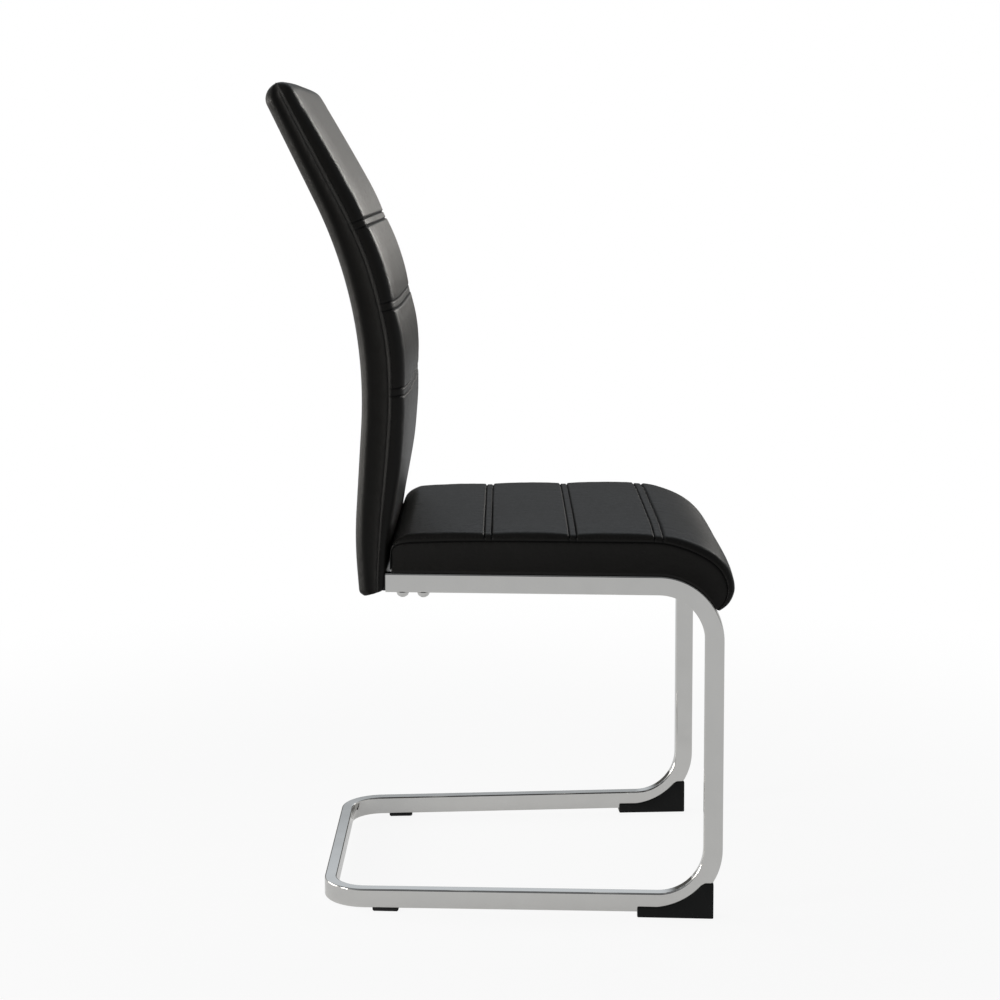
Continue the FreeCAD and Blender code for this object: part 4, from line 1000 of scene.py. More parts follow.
@dataclass
class SteelFrame:
    """The bent tube and the crossbars between its rails."""

    layout: Layout
    finishes: Finishes
    crossbar_width: float = 0.030
    crossbar_height: float = 0.015
    crossbar_wall: float = 0.0015
    crossbar_setbacks: Pair = (0.0661, 0.2661)
    crossbar_edge: float = 0.0018
    weld_radius: float = 0.0016
    weld_steps: tuple[int, int] = (150, 10)
    weld_ripple: float = 0.16
    weld_drop_rings: int = 6

    def route(self) -> Route:
        """Centre line of the whole tube, from the left rail's end round to the right rail's."""
        size = self.layout
        half = size.tube_height / 2
        leg_x, rail_z, y = size.leg_front_x - half, size.rail_top_z - half, size.side_middle_y
        flat = np.array(
            (
                (size.rail_rear_x, y, rail_z),
                (leg_x, y, rail_z),
                (leg_x, y, size.runner_lift_front + half),
                (size.leg_front_x - size.runner_length, y, size.runner_lift_rear + half),
            )
        )
        left = size.splayed(flat)
        right = (left * (1, -1, 1))[::-1]
        sine, cosine = math.sin(size.splay), math.cos(size.splay)
        sides = ((-sine, cosine, 0.0),) * 3 + ((-1.0, 0.0, 0.0),) + ((-sine, -cosine, 0.0),) * 3
        bends = (size.bend_radius,) * 2 + (size.base_corner_radius,) * 2 + (size.bend_radius,) * 2
        return bent_route(np.concatenate((left, right)), np.array(bends), np.array(sides))

    def tube(self) -> bpy.types.Object:
        """The tube: its outline carried along the route outside, and back again inside."""
        size = self.layout
        route = self.route()
        wall = 2 * size.tube_wall
        outer, outer_normals = rounded_rectangle(size.tube_width, size.tube_height, size.tube_edge)
        inner, inner_normals = rounded_rectangle(
            size.tube_width - wall, size.tube_height - wall, size.tube_edge / 4
        )
        points = np.concatenate((route.carry(outer), route.carry(inner)[::-1])).reshape(-1, 3)
        normals = np.concatenate((route.directions(outer_normals), -route.directions(inner_normals)[::-1]))
        faces = facing_out(points, quads(2 * len(route.points), len(outer), True, True))
        chrome, node = self.finishes.chrome, ("frame_tube",)
        return MeshMaker.add("frame_tube_bent", points, faces, chrome, Slot.CHROME, node, normals)

    def crossbar(self, name: str, node: str, setback: float) -> bpy.types.Object:
        """A hollow bar between the rails, its ends cut to their splay.

        A point's Y is its share along the bar times the half width between the rails at its X.
        """
        size = self.layout
        middle_x = size.rail_rear_x + setback
        middle_z = size.rail_top_z - self.crossbar_height / 2
        shares = np.linspace(-1.0, 1.0, 9)
        shells = []
        for inset in (0.0, self.crossbar_wall):
            outline, _ = rounded_rectangle(
                self.crossbar_width - 2 * inset,
                self.crossbar_height - 2 * inset,
                self.crossbar_edge - inset * 0.6,
                4,
            )
            x = middle_x + outline[:, 0]
            reach = size.outer_half_width(x) - size.tube_width / math.cos(size.splay)
            order = shares if inset == 0.0 else shares[::-1]
            y = order[:, None] * reach[None, :]
            z = np.broadcast_to(middle_z + outline[:, 1], y.shape)
            shells.append(np.stack((np.broadcast_to(x, y.shape), y, z), axis=-1))
        points = np.concatenate(shells)
        faces = facing_out(points.reshape(-1, 3), quads(*points.shape[:2], True, True))
        piece = MeshMaker.add(name, points, faces, self.finishes.chrome, Slot.CHROME, (node,))
        piece.data.set_sharp_from_angle(angle=math.radians(40))
        return piece

    def welds(self) -> bpy.types.Object:
        """Rippled beads round both ends of each crossbar.

        The bead is a round tube along the bar's outline; its radius rises and falls as a cosine
        with each weld drop.
        """
        size = self.layout
        points, faces = [], []
        outline, _ = rounded_rectangle(self.crossbar_width, self.crossbar_height, self.crossbar_edge, 12)
        rings, sides = self.weld_steps
        angles = np.arange(sides)[None, :, None] * 2 * math.pi / sides
        drops = 1 + self.weld_ripple * np.cos(np.arange(rings) * 2 * math.pi / self.weld_drop_rings)
        grid = quads(rings, sides, True, True)
        for setback in self.crossbar_setbacks:
            for side in Side:
                x = size.rail_rear_x + setback + outline[:, 0]
                y = size.outer_half_width(x) - size.tube_width / math.cos(size.splay)
                z = size.rail_top_z - self.crossbar_height / 2 + outline[:, 1]
                line = self.resampled(np.stack((x, y * side.value, z), axis=-1), rings)
                tangent = unit(np.roll(line, -1, axis=0) - np.roll(line, 1, axis=0))
                out = unit(np.cross(tangent, ACROSS))[:, None, :]
                ring = np.cos(angles) * out + np.sin(angles) * ACROSS
                bead = line[:, None, :] + self.weld_radius * drops[:, None, None] * ring
                bead[..., 2] = np.minimum(bead[..., 2], size.rail_top_z)
                count = rings * sides * len(points)
                points.append(bead.reshape(-1, 3))
                faces.append(facing_out(points[-1], grid) + count)
        return MeshMaker.add(
            "crossbar_welds", np.concatenate(points), np.concatenate(faces), self.finishes.weld, Slot.CHROME
        )

    @staticmethod
    def resampled(line: Array, count: int) -> Array:
        """Evenly spaced points round a closed line."""
        closed = np.concatenate((line, line[:1]))
        walked = walked_along(closed)
        return sampled(np.arange(count) * walked[-1] / count, walked, closed)

    def build(self) -> None:
        """Make the tube, the crossbars and their welds."""
        self.tube()
        for place, setback in zip(("rear", "front"), self.crossbar_setbacks):
            self.crossbar(f"crossbar_{place}", f"seat_crossbar_{place}", setback)
        self.welds()


@dataclass
class FloorGear:
    """Moulded front feet and rear pads."""

    layout: Layout
    finishes: Finishes
    length: float = 0.0914
    setback: float = 0.0107
    cheek: float = 0.002
    cheek_rise: float = 0.006
    middle_rise: float = 0.0229
    shoulder_rise: float = 0.040
    front_height: float = 0.043
    shoulder_setback: float = 0.0152
    middle_setback: float = 0.0362
    edge: float = 0.0009
    pad_length: float = 0.0316
    pad_width: float = 0.013
    pad_from_rear: float = 0.071
    pad_chamfer: float = 0.0015

    @staticmethod
    def arc_between(start: Array, middle: Array, end: Array, steps: int) -> Array:
        """Points of the circle through three points, from the first to the last."""
        chord_a, chord_b = middle - start, end - start
        area = 2 * (chord_a[0] * chord_b[1] - chord_a[1] * chord_b[0])
        across_a, across_b = chord_a @ chord_a, chord_b @ chord_b
        centre = start + np.array(
            (chord_b[1] * across_a - chord_a[1] * across_b, chord_a[0] * across_b - chord_b[0] * across_a)
        ) / area
        first = math.atan2(*(start - centre)[::-1])
        last = math.atan2(*(end - centre)[::-1])
        turn = (last - first + math.pi) % (2 * math.pi) - math.pi
        angles = first + np.linspace(0.0, turn, steps)
        radius = float(np.linalg.norm(start - centre))
        return centre + radius * np.stack((np.cos(angles), np.sin(angles)), axis=-1)

    @staticmethod
    def softened(corners: Array, radius: float, steps: int = 5) -> Array:
        """Round every corner of a closed outline.

        Each corner becomes a curve from a point one radius before it to one radius after it,
        the mean of start, corner and end weighted by the squares of the shares.

        Args:
            corners: Corner points.
            radius: How far from the corner the curve starts.
            steps: Points in each curve.

        Returns:
            The rounded outline.
        """
        before = np.roll(corners, 1, axis=0) - corners
        after = np.roll(corners, -1, axis=0) - corners
        room_before = np.minimum(radius, np.linalg.norm(before, axis=1) * 0.45)[:, None]
        room_after = np.minimum(radius, np.linalg.norm(after, axis=1) * 0.45)[:, None]
        start = corners + unit(before) * room_before
        end = corners + unit(after) * room_after
        share = np.linspace(0, 1, steps)[None, :, None]
        curve = (1 - share) ** 2 * start[:, None] + 2 * share * (1 - share) * corners[:, None]
        return (curve + share**2 * end[:, None]).reshape(-1, 2)

    def prism(self, outline: Array, low_y: float, high_y: float, edge: float) -> tuple[Array, list]:
        """A slab of an outline in X and Z between two Y, with rounded rims.

        The rim's rings move in from the outline by one less the cosine of an angle, and along Y
        by its sine, both times the radius of the rim.

        Args:
            outline: Closed outline, X and Z.
            low_y: One face.
            high_y: The other face.
            edge: Radius of the rims.

        Returns:
            Points and faces, the two flat ends among them.
        """
        tangent = np.roll(outline, -1, axis=0) - np.roll(outline, 1, axis=0)
        normal = unit(np.stack((tangent[:, 1], -tangent[:, 0]), axis=-1))
        area = np.sum(outline[:, 0] * np.roll(outline[:, 1], -1) - outline[:, 1] * np.roll(outline[:, 0], -1))
        normal = normal if area > 0 else -normal
        angles = np.linspace(math.pi / 2, 0.0, 4)
        inset = np.concatenate((1 - np.cos(angles), (1 - np.cos(angles))[::-1])) * edge
        rise = edge * (1 - np.sin(angles))
        y = np.concatenate((low_y + rise, (high_y - rise)[::-1]))
        rings = outline[None, :, :] - normal[None, :, :] * inset[:, None, None]
        rows, columns = rings.shape[:2]
        y = np.repeat(y[:, None], columns, axis=1)
        flat = np.stack((rings[..., 0], y, rings[..., 1]), axis=-1).reshape(-1, 3)
        faces = facing_out(flat, quads(rows, columns, wrap_columns=True)).tolist()
        first = list(range(columns))
        last = list(range((rows - 1) * columns, rows * columns))
        for cap, way in ((first, -1.0), (last, 1.0)):
            ring = flat[cap]
            turned = np.cross(ring - ring.mean(0), np.roll(ring, -1, axis=0) - ring.mean(0)).sum(0)
            faces.append(cap if turned[1] * way > 0 else cap[::-1])
        return flat, faces

    def foot(self, side: Side) -> bpy.types.Object:
        """A front foot: a wedge under the lower bend with cheeks up both sides of the tube."""
        size = self.layout
        front = size.leg_front_x - self.setback
        rear = front - self.length
        low = size.runner_lift_front + self.cheek_rise
        curve = self.arc_between(
            np.array((size.bend_start_x, low)),
            np.array((front - self.middle_setback, self.middle_rise)),
            np.array((front - self.shoulder_setback, self.shoulder_rise)),
            16,
        )
        corners = np.concatenate(
            (
                np.array(((rear, 0.0), (front, 0.0), (front, self.front_height))),
                np.array(((front - self.shoulder_setback * 2 / 3, self.front_height),)),
                curve[::-1],
                np.array(((rear, low),)),
            )
        )
        outline = self.softened(corners, 0.0016, 5)
        high_y = size.frame_width / 2 + self.cheek
        low_y = high_y - size.tube_width - 2 * self.cheek
        points, faces = self.prism(outline, low_y, high_y, self.edge)
        return self.sided("foot", f"front_foot_{side.word}", points, faces, side, Slot.PLASTIC)

    def pad(self, side: Side) -> bpy.types.Object:
        """A rear pad: a thin block with chamfered ends under the runner."""
        size = self.layout
        middle = size.leg_front_x - size.runner_length + self.pad_from_rear
        half = self.pad_length / 2
        top = size.runner_lift_front
        corners = np.array(
            (
                (middle - half + self.pad_chamfer, 0.0),
                (middle + half - self.pad_chamfer, 0.0),
                (middle + half, self.pad_chamfer),
                (middle + half, top),
                (middle - half, top),
                (middle - half, self.pad_chamfer),
            )
        )
        outline = self.softened(corners, 0.0006, 4)
        slope = (size.runner_lift_front - size.runner_lift_rear) / size.runner_length
        tube_low = size.runner_lift_rear + (outline[:, 0] - size.leg_front_x + size.runner_length) * slope
        outline[:, 1] = np.minimum(outline[:, 1], tube_low)
        low_y = size.side_middle_y - self.pad_width / 2
        points, faces = self.prism(outline, low_y, low_y + self.pad_width, 0.0005)
        return self.sided("pad", f"rear_pad_{side.word}", points, faces, side, Slot.RUBBER)

    def sided(
        self, kind: str, node: str, points: Array, faces: list, side: Side, slot: Slot
    ) -> bpy.types.Object:
        """Turn a piece outwards with its tube, mirror it if needed, and add it.

        Args:
            kind: First word of its name.
            node: The solid that it stands for.
            points: Its points on the square left side.
            faces: Its faces.
            side: The side that it is on.
            slot: Its slot.

        Returns:
            The piece.
        """
        material = self.finishes.plastic if slot is Slot.PLASTIC else self.finishes.rubber
        turned = self.layout.splayed(points, side)
        wound = faces if side is Side.LEFT else [face[::-1] for face in faces]
        piece = MeshMaker.add(f"{kind}_{side.word}", turned, wound, material, slot, (node,))
        piece.data.set_sharp_from_angle(angle=math.radians(32))
        return piece

    def build(self) -> None:
        """Make both feet and both pads."""
        for side in Side:
            self.foot(side)
            self.pad(side)


@dataclass
class Screws:
    """Domed socket bolts with their washers, below the rails and the crossbars."""

    layout: Layout
    finishes: Finishes
    clamp_setbacks: Pair = (0.020, 0.045)
    clamp_head: float = 0.014
    clamp_height: float = 0.0044
    clamp_socket: float = 0.005
    clamp_washer: float = 0.0148
    clamp_washer_height: float = 0.0019
    seat_setbacks: Pair = (0.0661, 0.2661)
    seat_inset: float = 0.045
    seat_head: float = 0.0105
    seat_height: float = 0.0033
    seat_socket: float = 0.004
    seat_washer: float = 0.014
    seat_washer_height: float = 0.0012
    crossbar_height: float = 0.015

    @staticmethod
    def bolt(head: float, height: float, socket: float, shank: float, length: float) -> Array:
        """A bolt whose head hangs below its seat at zero.

        The head's profile is a quarter of an ellipse, the socket is a hexagonal pit.

        Args:
            head: Diameter of the head.
            height: Height of the head.
            socket: Width of the socket across its flats.
            shank: Diameter of the shank.
            length: Length of the shank.

        Returns:
            A grid of points whose first and last rows are poles.
        """
        depth = height * 0.6
        flat = socket / 2
        angles = np.linspace(math.radians(72), 0.0, 9)
        top_radius = head / 2 * math.cos(angles[0])
        dome = np.stack((head / 2 * np.cos(angles), -height * np.sin(angles) / math.sin(angles[0])), axis=-1)
        shape = np.concatenate(
            (
                ((0.0, depth * 1.15 - height), (flat * 0.9, depth - height), (flat, depth - height)),
                ((flat, 0.0002 - height), (flat * 1.04, -height), (max(top_radius, flat * 1.2), -height)),
                dome[1:],
                ((head / 2 - 0.0002, 0.0), (shank / 2, 0.0), (shank / 2, length - 0.0006)),
                ((shank / 2 - 0.0006, length), (0.0, length)),
            )
        )
        return lathe(shape, 48, hexagon_rows=5)

    @staticmethod
    def ring(outer: float, inner: float, height: float) -> Array:
        """A flat washer with softened rims, its lower face at zero, as a grid closed both ways."""
        soft = min(0.0003, height / 4)
        shape = np.array(
            (
                (inner / 2, soft),
                (inner / 2 + soft, 0.0),
                (outer / 2 - soft, 0.0),
                (outer / 2 - soft * 0.3, soft * 0.3),
                (outer / 2, soft),
                (outer / 2, height - soft),
                (outer / 2 - soft, height),
                (inner / 2 + soft, height),
                (inner / 2, height - soft),
            )
        )
        return lathe(shape, 48)

    def group(
        self, name: str, grid: Array, places: Array, closed: bool, node: str, chrome: bool
    ) -> bpy.types.Object:
        """Copies of one turned piece at several places, as one object.

        Args:
            name: Name of the object.
            grid: The turned piece.
            places: Where its seat goes, one point each.
            closed: Whether its profile is a closed loop.
            node: The solids that it stands for.
            chrome: Chromed, or else zinc-plated.

        Returns:
            The object.
        """
        rows, columns = grid.shape[:2]
        pattern = facing_out(grid.reshape(-1, 3), quads(rows, columns, closed, True))
        points = (places[:, None, :] + grid.reshape(-1, 3)[None, :, :]).reshape(-1, 3)
        faces = (np.arange(len(places))[:, None, None] * rows * columns + pattern).reshape(-1, 4)
        material = self.finishes.chrome if chrome else self.finishes.zinc
        slot = Slot.CHROME if chrome else Slot.ZINC
        piece = MeshMaker.add(name, points, faces, material, slot, (node,))
        MeshMaker.welded(piece)
        piece.data.set_sharp_from_angle(angle=math.radians(38))
        return piece

    def clamp_places(self, z: float) -> Array:
        """Centres of the four clamp bolts at a height."""
        size = self.layout
        y = size.side_middle_y
        flat = np.array([(size.rail_rear_x + setback, y, z) for setback in self.clamp_setbacks])
        return np.concatenate([size.splayed(flat, side) for side in Side])

    def seat_places(self, z: float) -> Array:
        """Centres of the four seat bolts at a height."""
        size = self.layout
        places = []
        for setback in self.seat_setbacks:
            x = size.rail_rear_x + setback
            y = size.outer_half_width(x) - size.tube_width - self.seat_inset
            places += [(x, y, z), (x, -y, z)]
        return np.array(places)

    def build(self) -> None:
        """Make bolts and washers."""
        rail_bottom = self.layout.rail_top_z - self.layout.tube_height
        clamp = self.bolt(self.clamp_head, self.clamp_height, self.clamp_socket, 0.0079, 0.019)
        washer = self.ring(self.clamp_washer, 0.0083, self.clamp_washer_height)
        below = self.clamp_places(rail_bottom - self.clamp_washer_height)
        self.group("clamp_bolt_set", clamp, below, False, "clamp_bolts", True)
        self.group("clamp_washer_set", washer, below, True, "clamp_washers", True)
        bar_bottom = self.layout.rail_top_z - self.crossbar_height
        seat = self.bolt(self.seat_head, self.seat_height, self.seat_socket, 0.0059, 0.0257)
        seat_ring = self.ring(self.seat_washer, 0.0063, self.seat_washer_height)
        under = self.seat_places(bar_bottom - self.seat_washer_height)
        self.group("seat_bolt_set", seat, under, False, "seat_bolts", False)
        self.group("seat_washer_set", seat_ring, under, True, "seat_washers", False)


def blurred(values: Array, width: int) -> Array:
    """Evenly spaced values, each the mean of its neighbours weighted by a bell of that width."""
    reach = 3 * width
    weights = np.exp(-0.5 * (np.arange(-reach, reach + 1) / width) ** 2)
    padded = np.pad(values, reach, mode="reflect", reflect_type="odd")
    return np.convolve(padded, weights / weights.sum(), mode="valid")


def eased(value: Array, places: tuple[float, ...], heights: tuple[float, ...], width: float) -> Array:
    """Straight lines between given heights, averaged over a stretch so that they bend softly."""
    offsets = np.linspace(-width, width, 9)
    weights = 1 + np.cos(np.pi * offsets / width * 0.9)
    samples = np.interp(value[..., None] + offsets, places, heights)
    return (samples * weights).sum(axis=-1) / weights.sum()


def tube_mesh(line: Array, radius: Array, sides: int) -> tuple[Array, Array]:
    """A round tube along a line that stays near an upright plane, closed to a point at both ends.

    Each ring is the line's point plus the radius times the cosine across and the sine along the
    cross product of direction and Y.

    Args:
        line: Points of the middle line.
        radius: Radius at each.
        sides: Points in a ring.

    Returns:
        Points and quads.
    """
    tangent = unit(np.gradient(line, axis=0))
    high = unit(np.cross(tangent, ACROSS))
    wide = np.cross(high, tangent)
    angles = np.arange(sides) * 2 * math.pi / sides
    ring = np.cos(angles)[None, :, None] * wide[:, None, :] + np.sin(angles)[None, :, None] * high[:, None, :]
    points = line[:, None, :] + ring * radius[:, None, None]
    points = points.reshape(-1, 3)
    return points, facing_out(points, quads(len(line), sides, wrap_columns=True))


@dataclass(frozen=True)
class Across:
    """Places across a crowned panel: a shoulder beside each seam and the crown between them."""

    shoulder_steps: int = 12
    crown_steps: int = 100
    squareness: float = 0.74

    @cached_property
    def columns(self) -> tuple[Array, Array, Array, Array]:
        """Side, share of the shoulder's run, share of its rise and share of the crown.

        On the shoulders the run share is 1 less the cosine and the rise share the sine of an
        angle, both to the power of the squareness. On the crown the side goes evenly from 1 to
        -1 and the crown share is 1 less its fifth power.
        """
        angles = np.linspace(0.0, math.pi / 2, self.shoulder_steps, endpoint=False)
        crown = np.linspace(1.0, -1.0, self.crown_steps + 1)
        run, rise = 1 - np.cos(angles) ** self.squareness, np.sin(angles) ** self.squareness
        ones, nothing, full = np.ones_like(angles), np.zeros_like(angles), np.ones_like(crown)
        return (
            np.concatenate((ones, crown, -ones)),
            np.concatenate((run, full, run[::-1])),
            np.concatenate((rise, full, rise[::-1])),
            np.concatenate((nothing, 1 - np.abs(crown) ** 5, nothing)),
        )

    @property
    def places(self) -> Array:
        """One number for each column that grows from seam to seam."""
        side, run, _, _ = self.columns
        return -side * (1.1 - 0.1 * run)


@dataclass(frozen=True)
class Panel:
    """Rows of a crowned panel: its seam line on the middle plane and how it rises from there."""

    seam: Array
    face: Array
    half_width: Array
    run: Array
    rise: Array
    crown: Array
    drop: Array
    tuck: float = 0.0012
    tuck_reach: float = 0.0013

    def widths(self, across: Across) -> Array:
        """Y of every point.

        It is the side times the half width less the shoulder's run so far, less a tuck that
        fades as an exponential from the seam, and less half of the channel's drop.
        """
        side, run, rise, _ = across.columns
        tuck = self.tuck * np.exp(-self.rise[:, None] * rise / self.tuck_reach)
        drawn = tuck + np.maximum(self.drop, 0.0)[:, None] * rise / 2
        return side * (self.half_width[:, None] - self.run[:, None] * run - drawn)

    def walked(self, across: Across) -> Array:
        """About how far each point lies from the nearer seam, over the shoulder."""
        edge = self.half_width[:, None] - np.abs(self.widths(across)) - self.tuck
        return np.maximum(edge, 0.0) + self.rise[:, None] * across.columns[2]

    def surface(self, across: Across, extra: Array | float = 0.0) -> Array:
        """The panel: seam point + across * width + face * height.

        Args:
            across: Places across the panel.
            extra: Height to add at each point.

        Returns:
            A grid of points from the left seam to the right one.
        """
        _, _, rise, swell = across.columns
        height = (self.rise - self.drop)[:, None] * rise + self.crown[:, None] * swell + extra
        y = self.widths(across)
        return self.seam[:, None, :] + ACROSS * y[..., None] + self.face[:, None, :] * height[..., None]


@dataclass(frozen=True)
class Gathers:
    """Small gathers that a seam draws into the leather beside it."""

    depth: float = 0.00036
    reach: float = 0.009
    still: float = 0.0016
    waves: tuple[float, ...] = (0.012, 0.019, 0.031)

    def beside(self, along: Array, away: Array, seed: int) -> Array:
        """Heights beside a seam.

        Waves of drawn phases run along the seam. They start at a little distance from it and
        fade as an exponential of the distance.

        Args:
            along: Place along the seam.
            away: Distance from the seam.
            seed: Number that the phases are drawn from.

        Returns:
            The height at each place.
        """
        random = np.random.default_rng(seed)
        lengths = np.array(self.waves) * random.uniform(0.85, 1.15, len(self.waves))
        phases = random.uniform(0.0, 2 * math.pi, len(self.waves))
        total = np.sin(along[..., None] * 2 * math.pi / lengths + phases).mean(axis=-1)
        fade = np.exp(-away / self.reach) * (1 - np.exp(-((away / self.still) ** 2)))
        return self.depth * fade * total


@dataclass
class Cushion:
    """What both cushions share: a crowned, channelled panel over a block of foam."""

    layout: Layout
    finishes: Finishes
    across: Across = Across()
    gathers: Gathers = Gathers()
    inflation: Inflation = Inflation()
    cover: float = 0.0013
    step: float = 0.0026
    sheet_step: float = 0.0100
    seed: int = 11
    stitch_inset: float = 0.0062
    stitch_groove: float = 0.0
    swelling_share: float = 0.2

    def relief(self, rows: Array, panel: Panel) -> Array:
        """Gathers beside every seam of the crowned panel, added up, less the groove of a side stitch."""
        y = panel.widths(self.across)
        along = np.broadcast_to(rows[:, None], y.shape)
        walked = panel.walked(self.across)
        lift = -self.stitch_groove * np.exp(-(((walked - self.stitch_inset) / 0.0012) ** 2))
        for number, seam in enumerate(self.channels.seams):
            lift = lift + self.gathers.beside(y, np.abs(along - seam), self.seed + number)
        for number, side in ((20, y > 0), (21, y <= 0)):
            lift = lift + np.where(side, self.gathers.beside(along, walked, self.seed + number), 0.0)
        return lift * smooth_step(walked / 0.004)

    def swelling(self, rows: Array) -> Array:
        """A share of the simulated leather's heights at the rows, read from a coarse sheet."""
        seams = self.channels.seams
        plain = np.arange(rows[0], rows[-1] - 0.012, self.sheet_step)
        plain = plain[np.abs(plain[:, None] - seams).min(axis=1) > 0.003]
        coarse_rows = np.sort(np.concatenate((plain, seams)))
        coarse = Across(4, 38)
        panel = self.panel(coarse_rows)
        points = panel.surface(coarse)
        held = np.zeros(points.shape[:2], bool)
        held[np.isin(coarse_rows, seams)] = True
        held[:, (0, -1)] = held[(0, -1), :] = True
        heights = self.swelling_share * self.inflation.heights(points, held, panel.face)
        down = sampled(rows, coarse_rows, heights)
        return sampled(self.across.places, coarse.places, down.T).T

    def settled(self, points: Array, rows: Array) -> Array:
        """The points as they are; a cushion that hangs over changes them."""
        return points

    def crowned_cover(
        self,
        name: str,
        node: str,
        rows: Array,
        whole: Panel,
        side_columns: tuple[int, ...],
        stitches: StitchBook,
    ) -> bpy.types.Object:
        """The crowned panel with its channels, gathers and rows of stitches.

        Args:
            name: Name of the piece.
            node: The solid that it stands for.
            rows: Numbers of the rows that lie between the panel's ends.
            whole: The panel, which may have more rows after those.
            side_columns: Columns that carry a row of stitches.
            stitches: The book that the stitches are added to.

        Returns:
            The piece.
        """
        more = len(whole.seam) - len(rows)
        extra = self.relief(rows, self.panel(rows)) + self.swelling(rows)
        extra = extra * smooth_step((rows[-1] - rows) / 0.02)[:, None]
        points = self.settled(whole.surface(self.across, np.pad(extra, ((0, more), (0, 0)))), rows)
        faces, normals = skin(points, whole.face[len(points) // 2])
        for seam in self.channels.seams:
            row = int(np.argmin(np.abs(rows - seam)))
            stitches.sew(points[row, 4:-4], normals[row, 4:-4])
        for column in side_columns:
            stitches.sew(points[4 : len(rows) - 6, column], normals[4 : len(rows) - 6, column])
        # Share of painted seam shade: a bell over each channel seam and a fade beside the side seams.
        crease = np.pad(self.channels.closeness(rows), (0, more))[:, None]
        crease = np.maximum(crease, 0.8 * np.exp(-whole.walked(self.across) / 0.0016))
        return self.leather_piece(name, node, points, faces, crease)

    def leather_piece(
        self, name: str, node: str, points: Array, faces: Array, crease: Array | None = None
    ) -> bpy.types.Object:
        """A piece of cover, with its thickness when the shares of seam shade are given.

        Args:
            name: Name of the piece.
            node: The solid that it stands for.
            points: A grid of points.
            faces: Its quads.
            crease: Share of the painted seam shade at each point.

        Returns:
            The piece.
        """
        piece = MeshMaker.add(name, points, faces, self.finishes.leather, Slot.LEATHER, (node,))
        MeshMaker.attribute(piece, "crease", np.zeros(points.shape[:2]) if crease is None else crease)
        if crease is not None:
            MeshMaker.thicken(piece, self.cover)
        return piece

    def foam_block(self, name: str, node: str, ring: Array) -> bpy.types.Object:
        """A body of closed rings whose first and last ring are closed by flat ends.

        Args:
            name: Name of the piece.
            node: The solid that it stands for.
            ring: A grid of points, one row for each ring.

        Returns:
            The piece.
        """
        rows, columns = ring.shape[:2]
        faces = quads(rows, columns, wrap_columns=True).tolist()
        faces += [list(range(columns)), list(range((rows - 1) * columns, rows * columns))]
        piece = MeshMaker.add(name, ring, faces, self.finishes.foam, Slot.FOAM, (node,))
        MeshMaker.welded(piece, 1e-6, recalculate=True)
        return piece


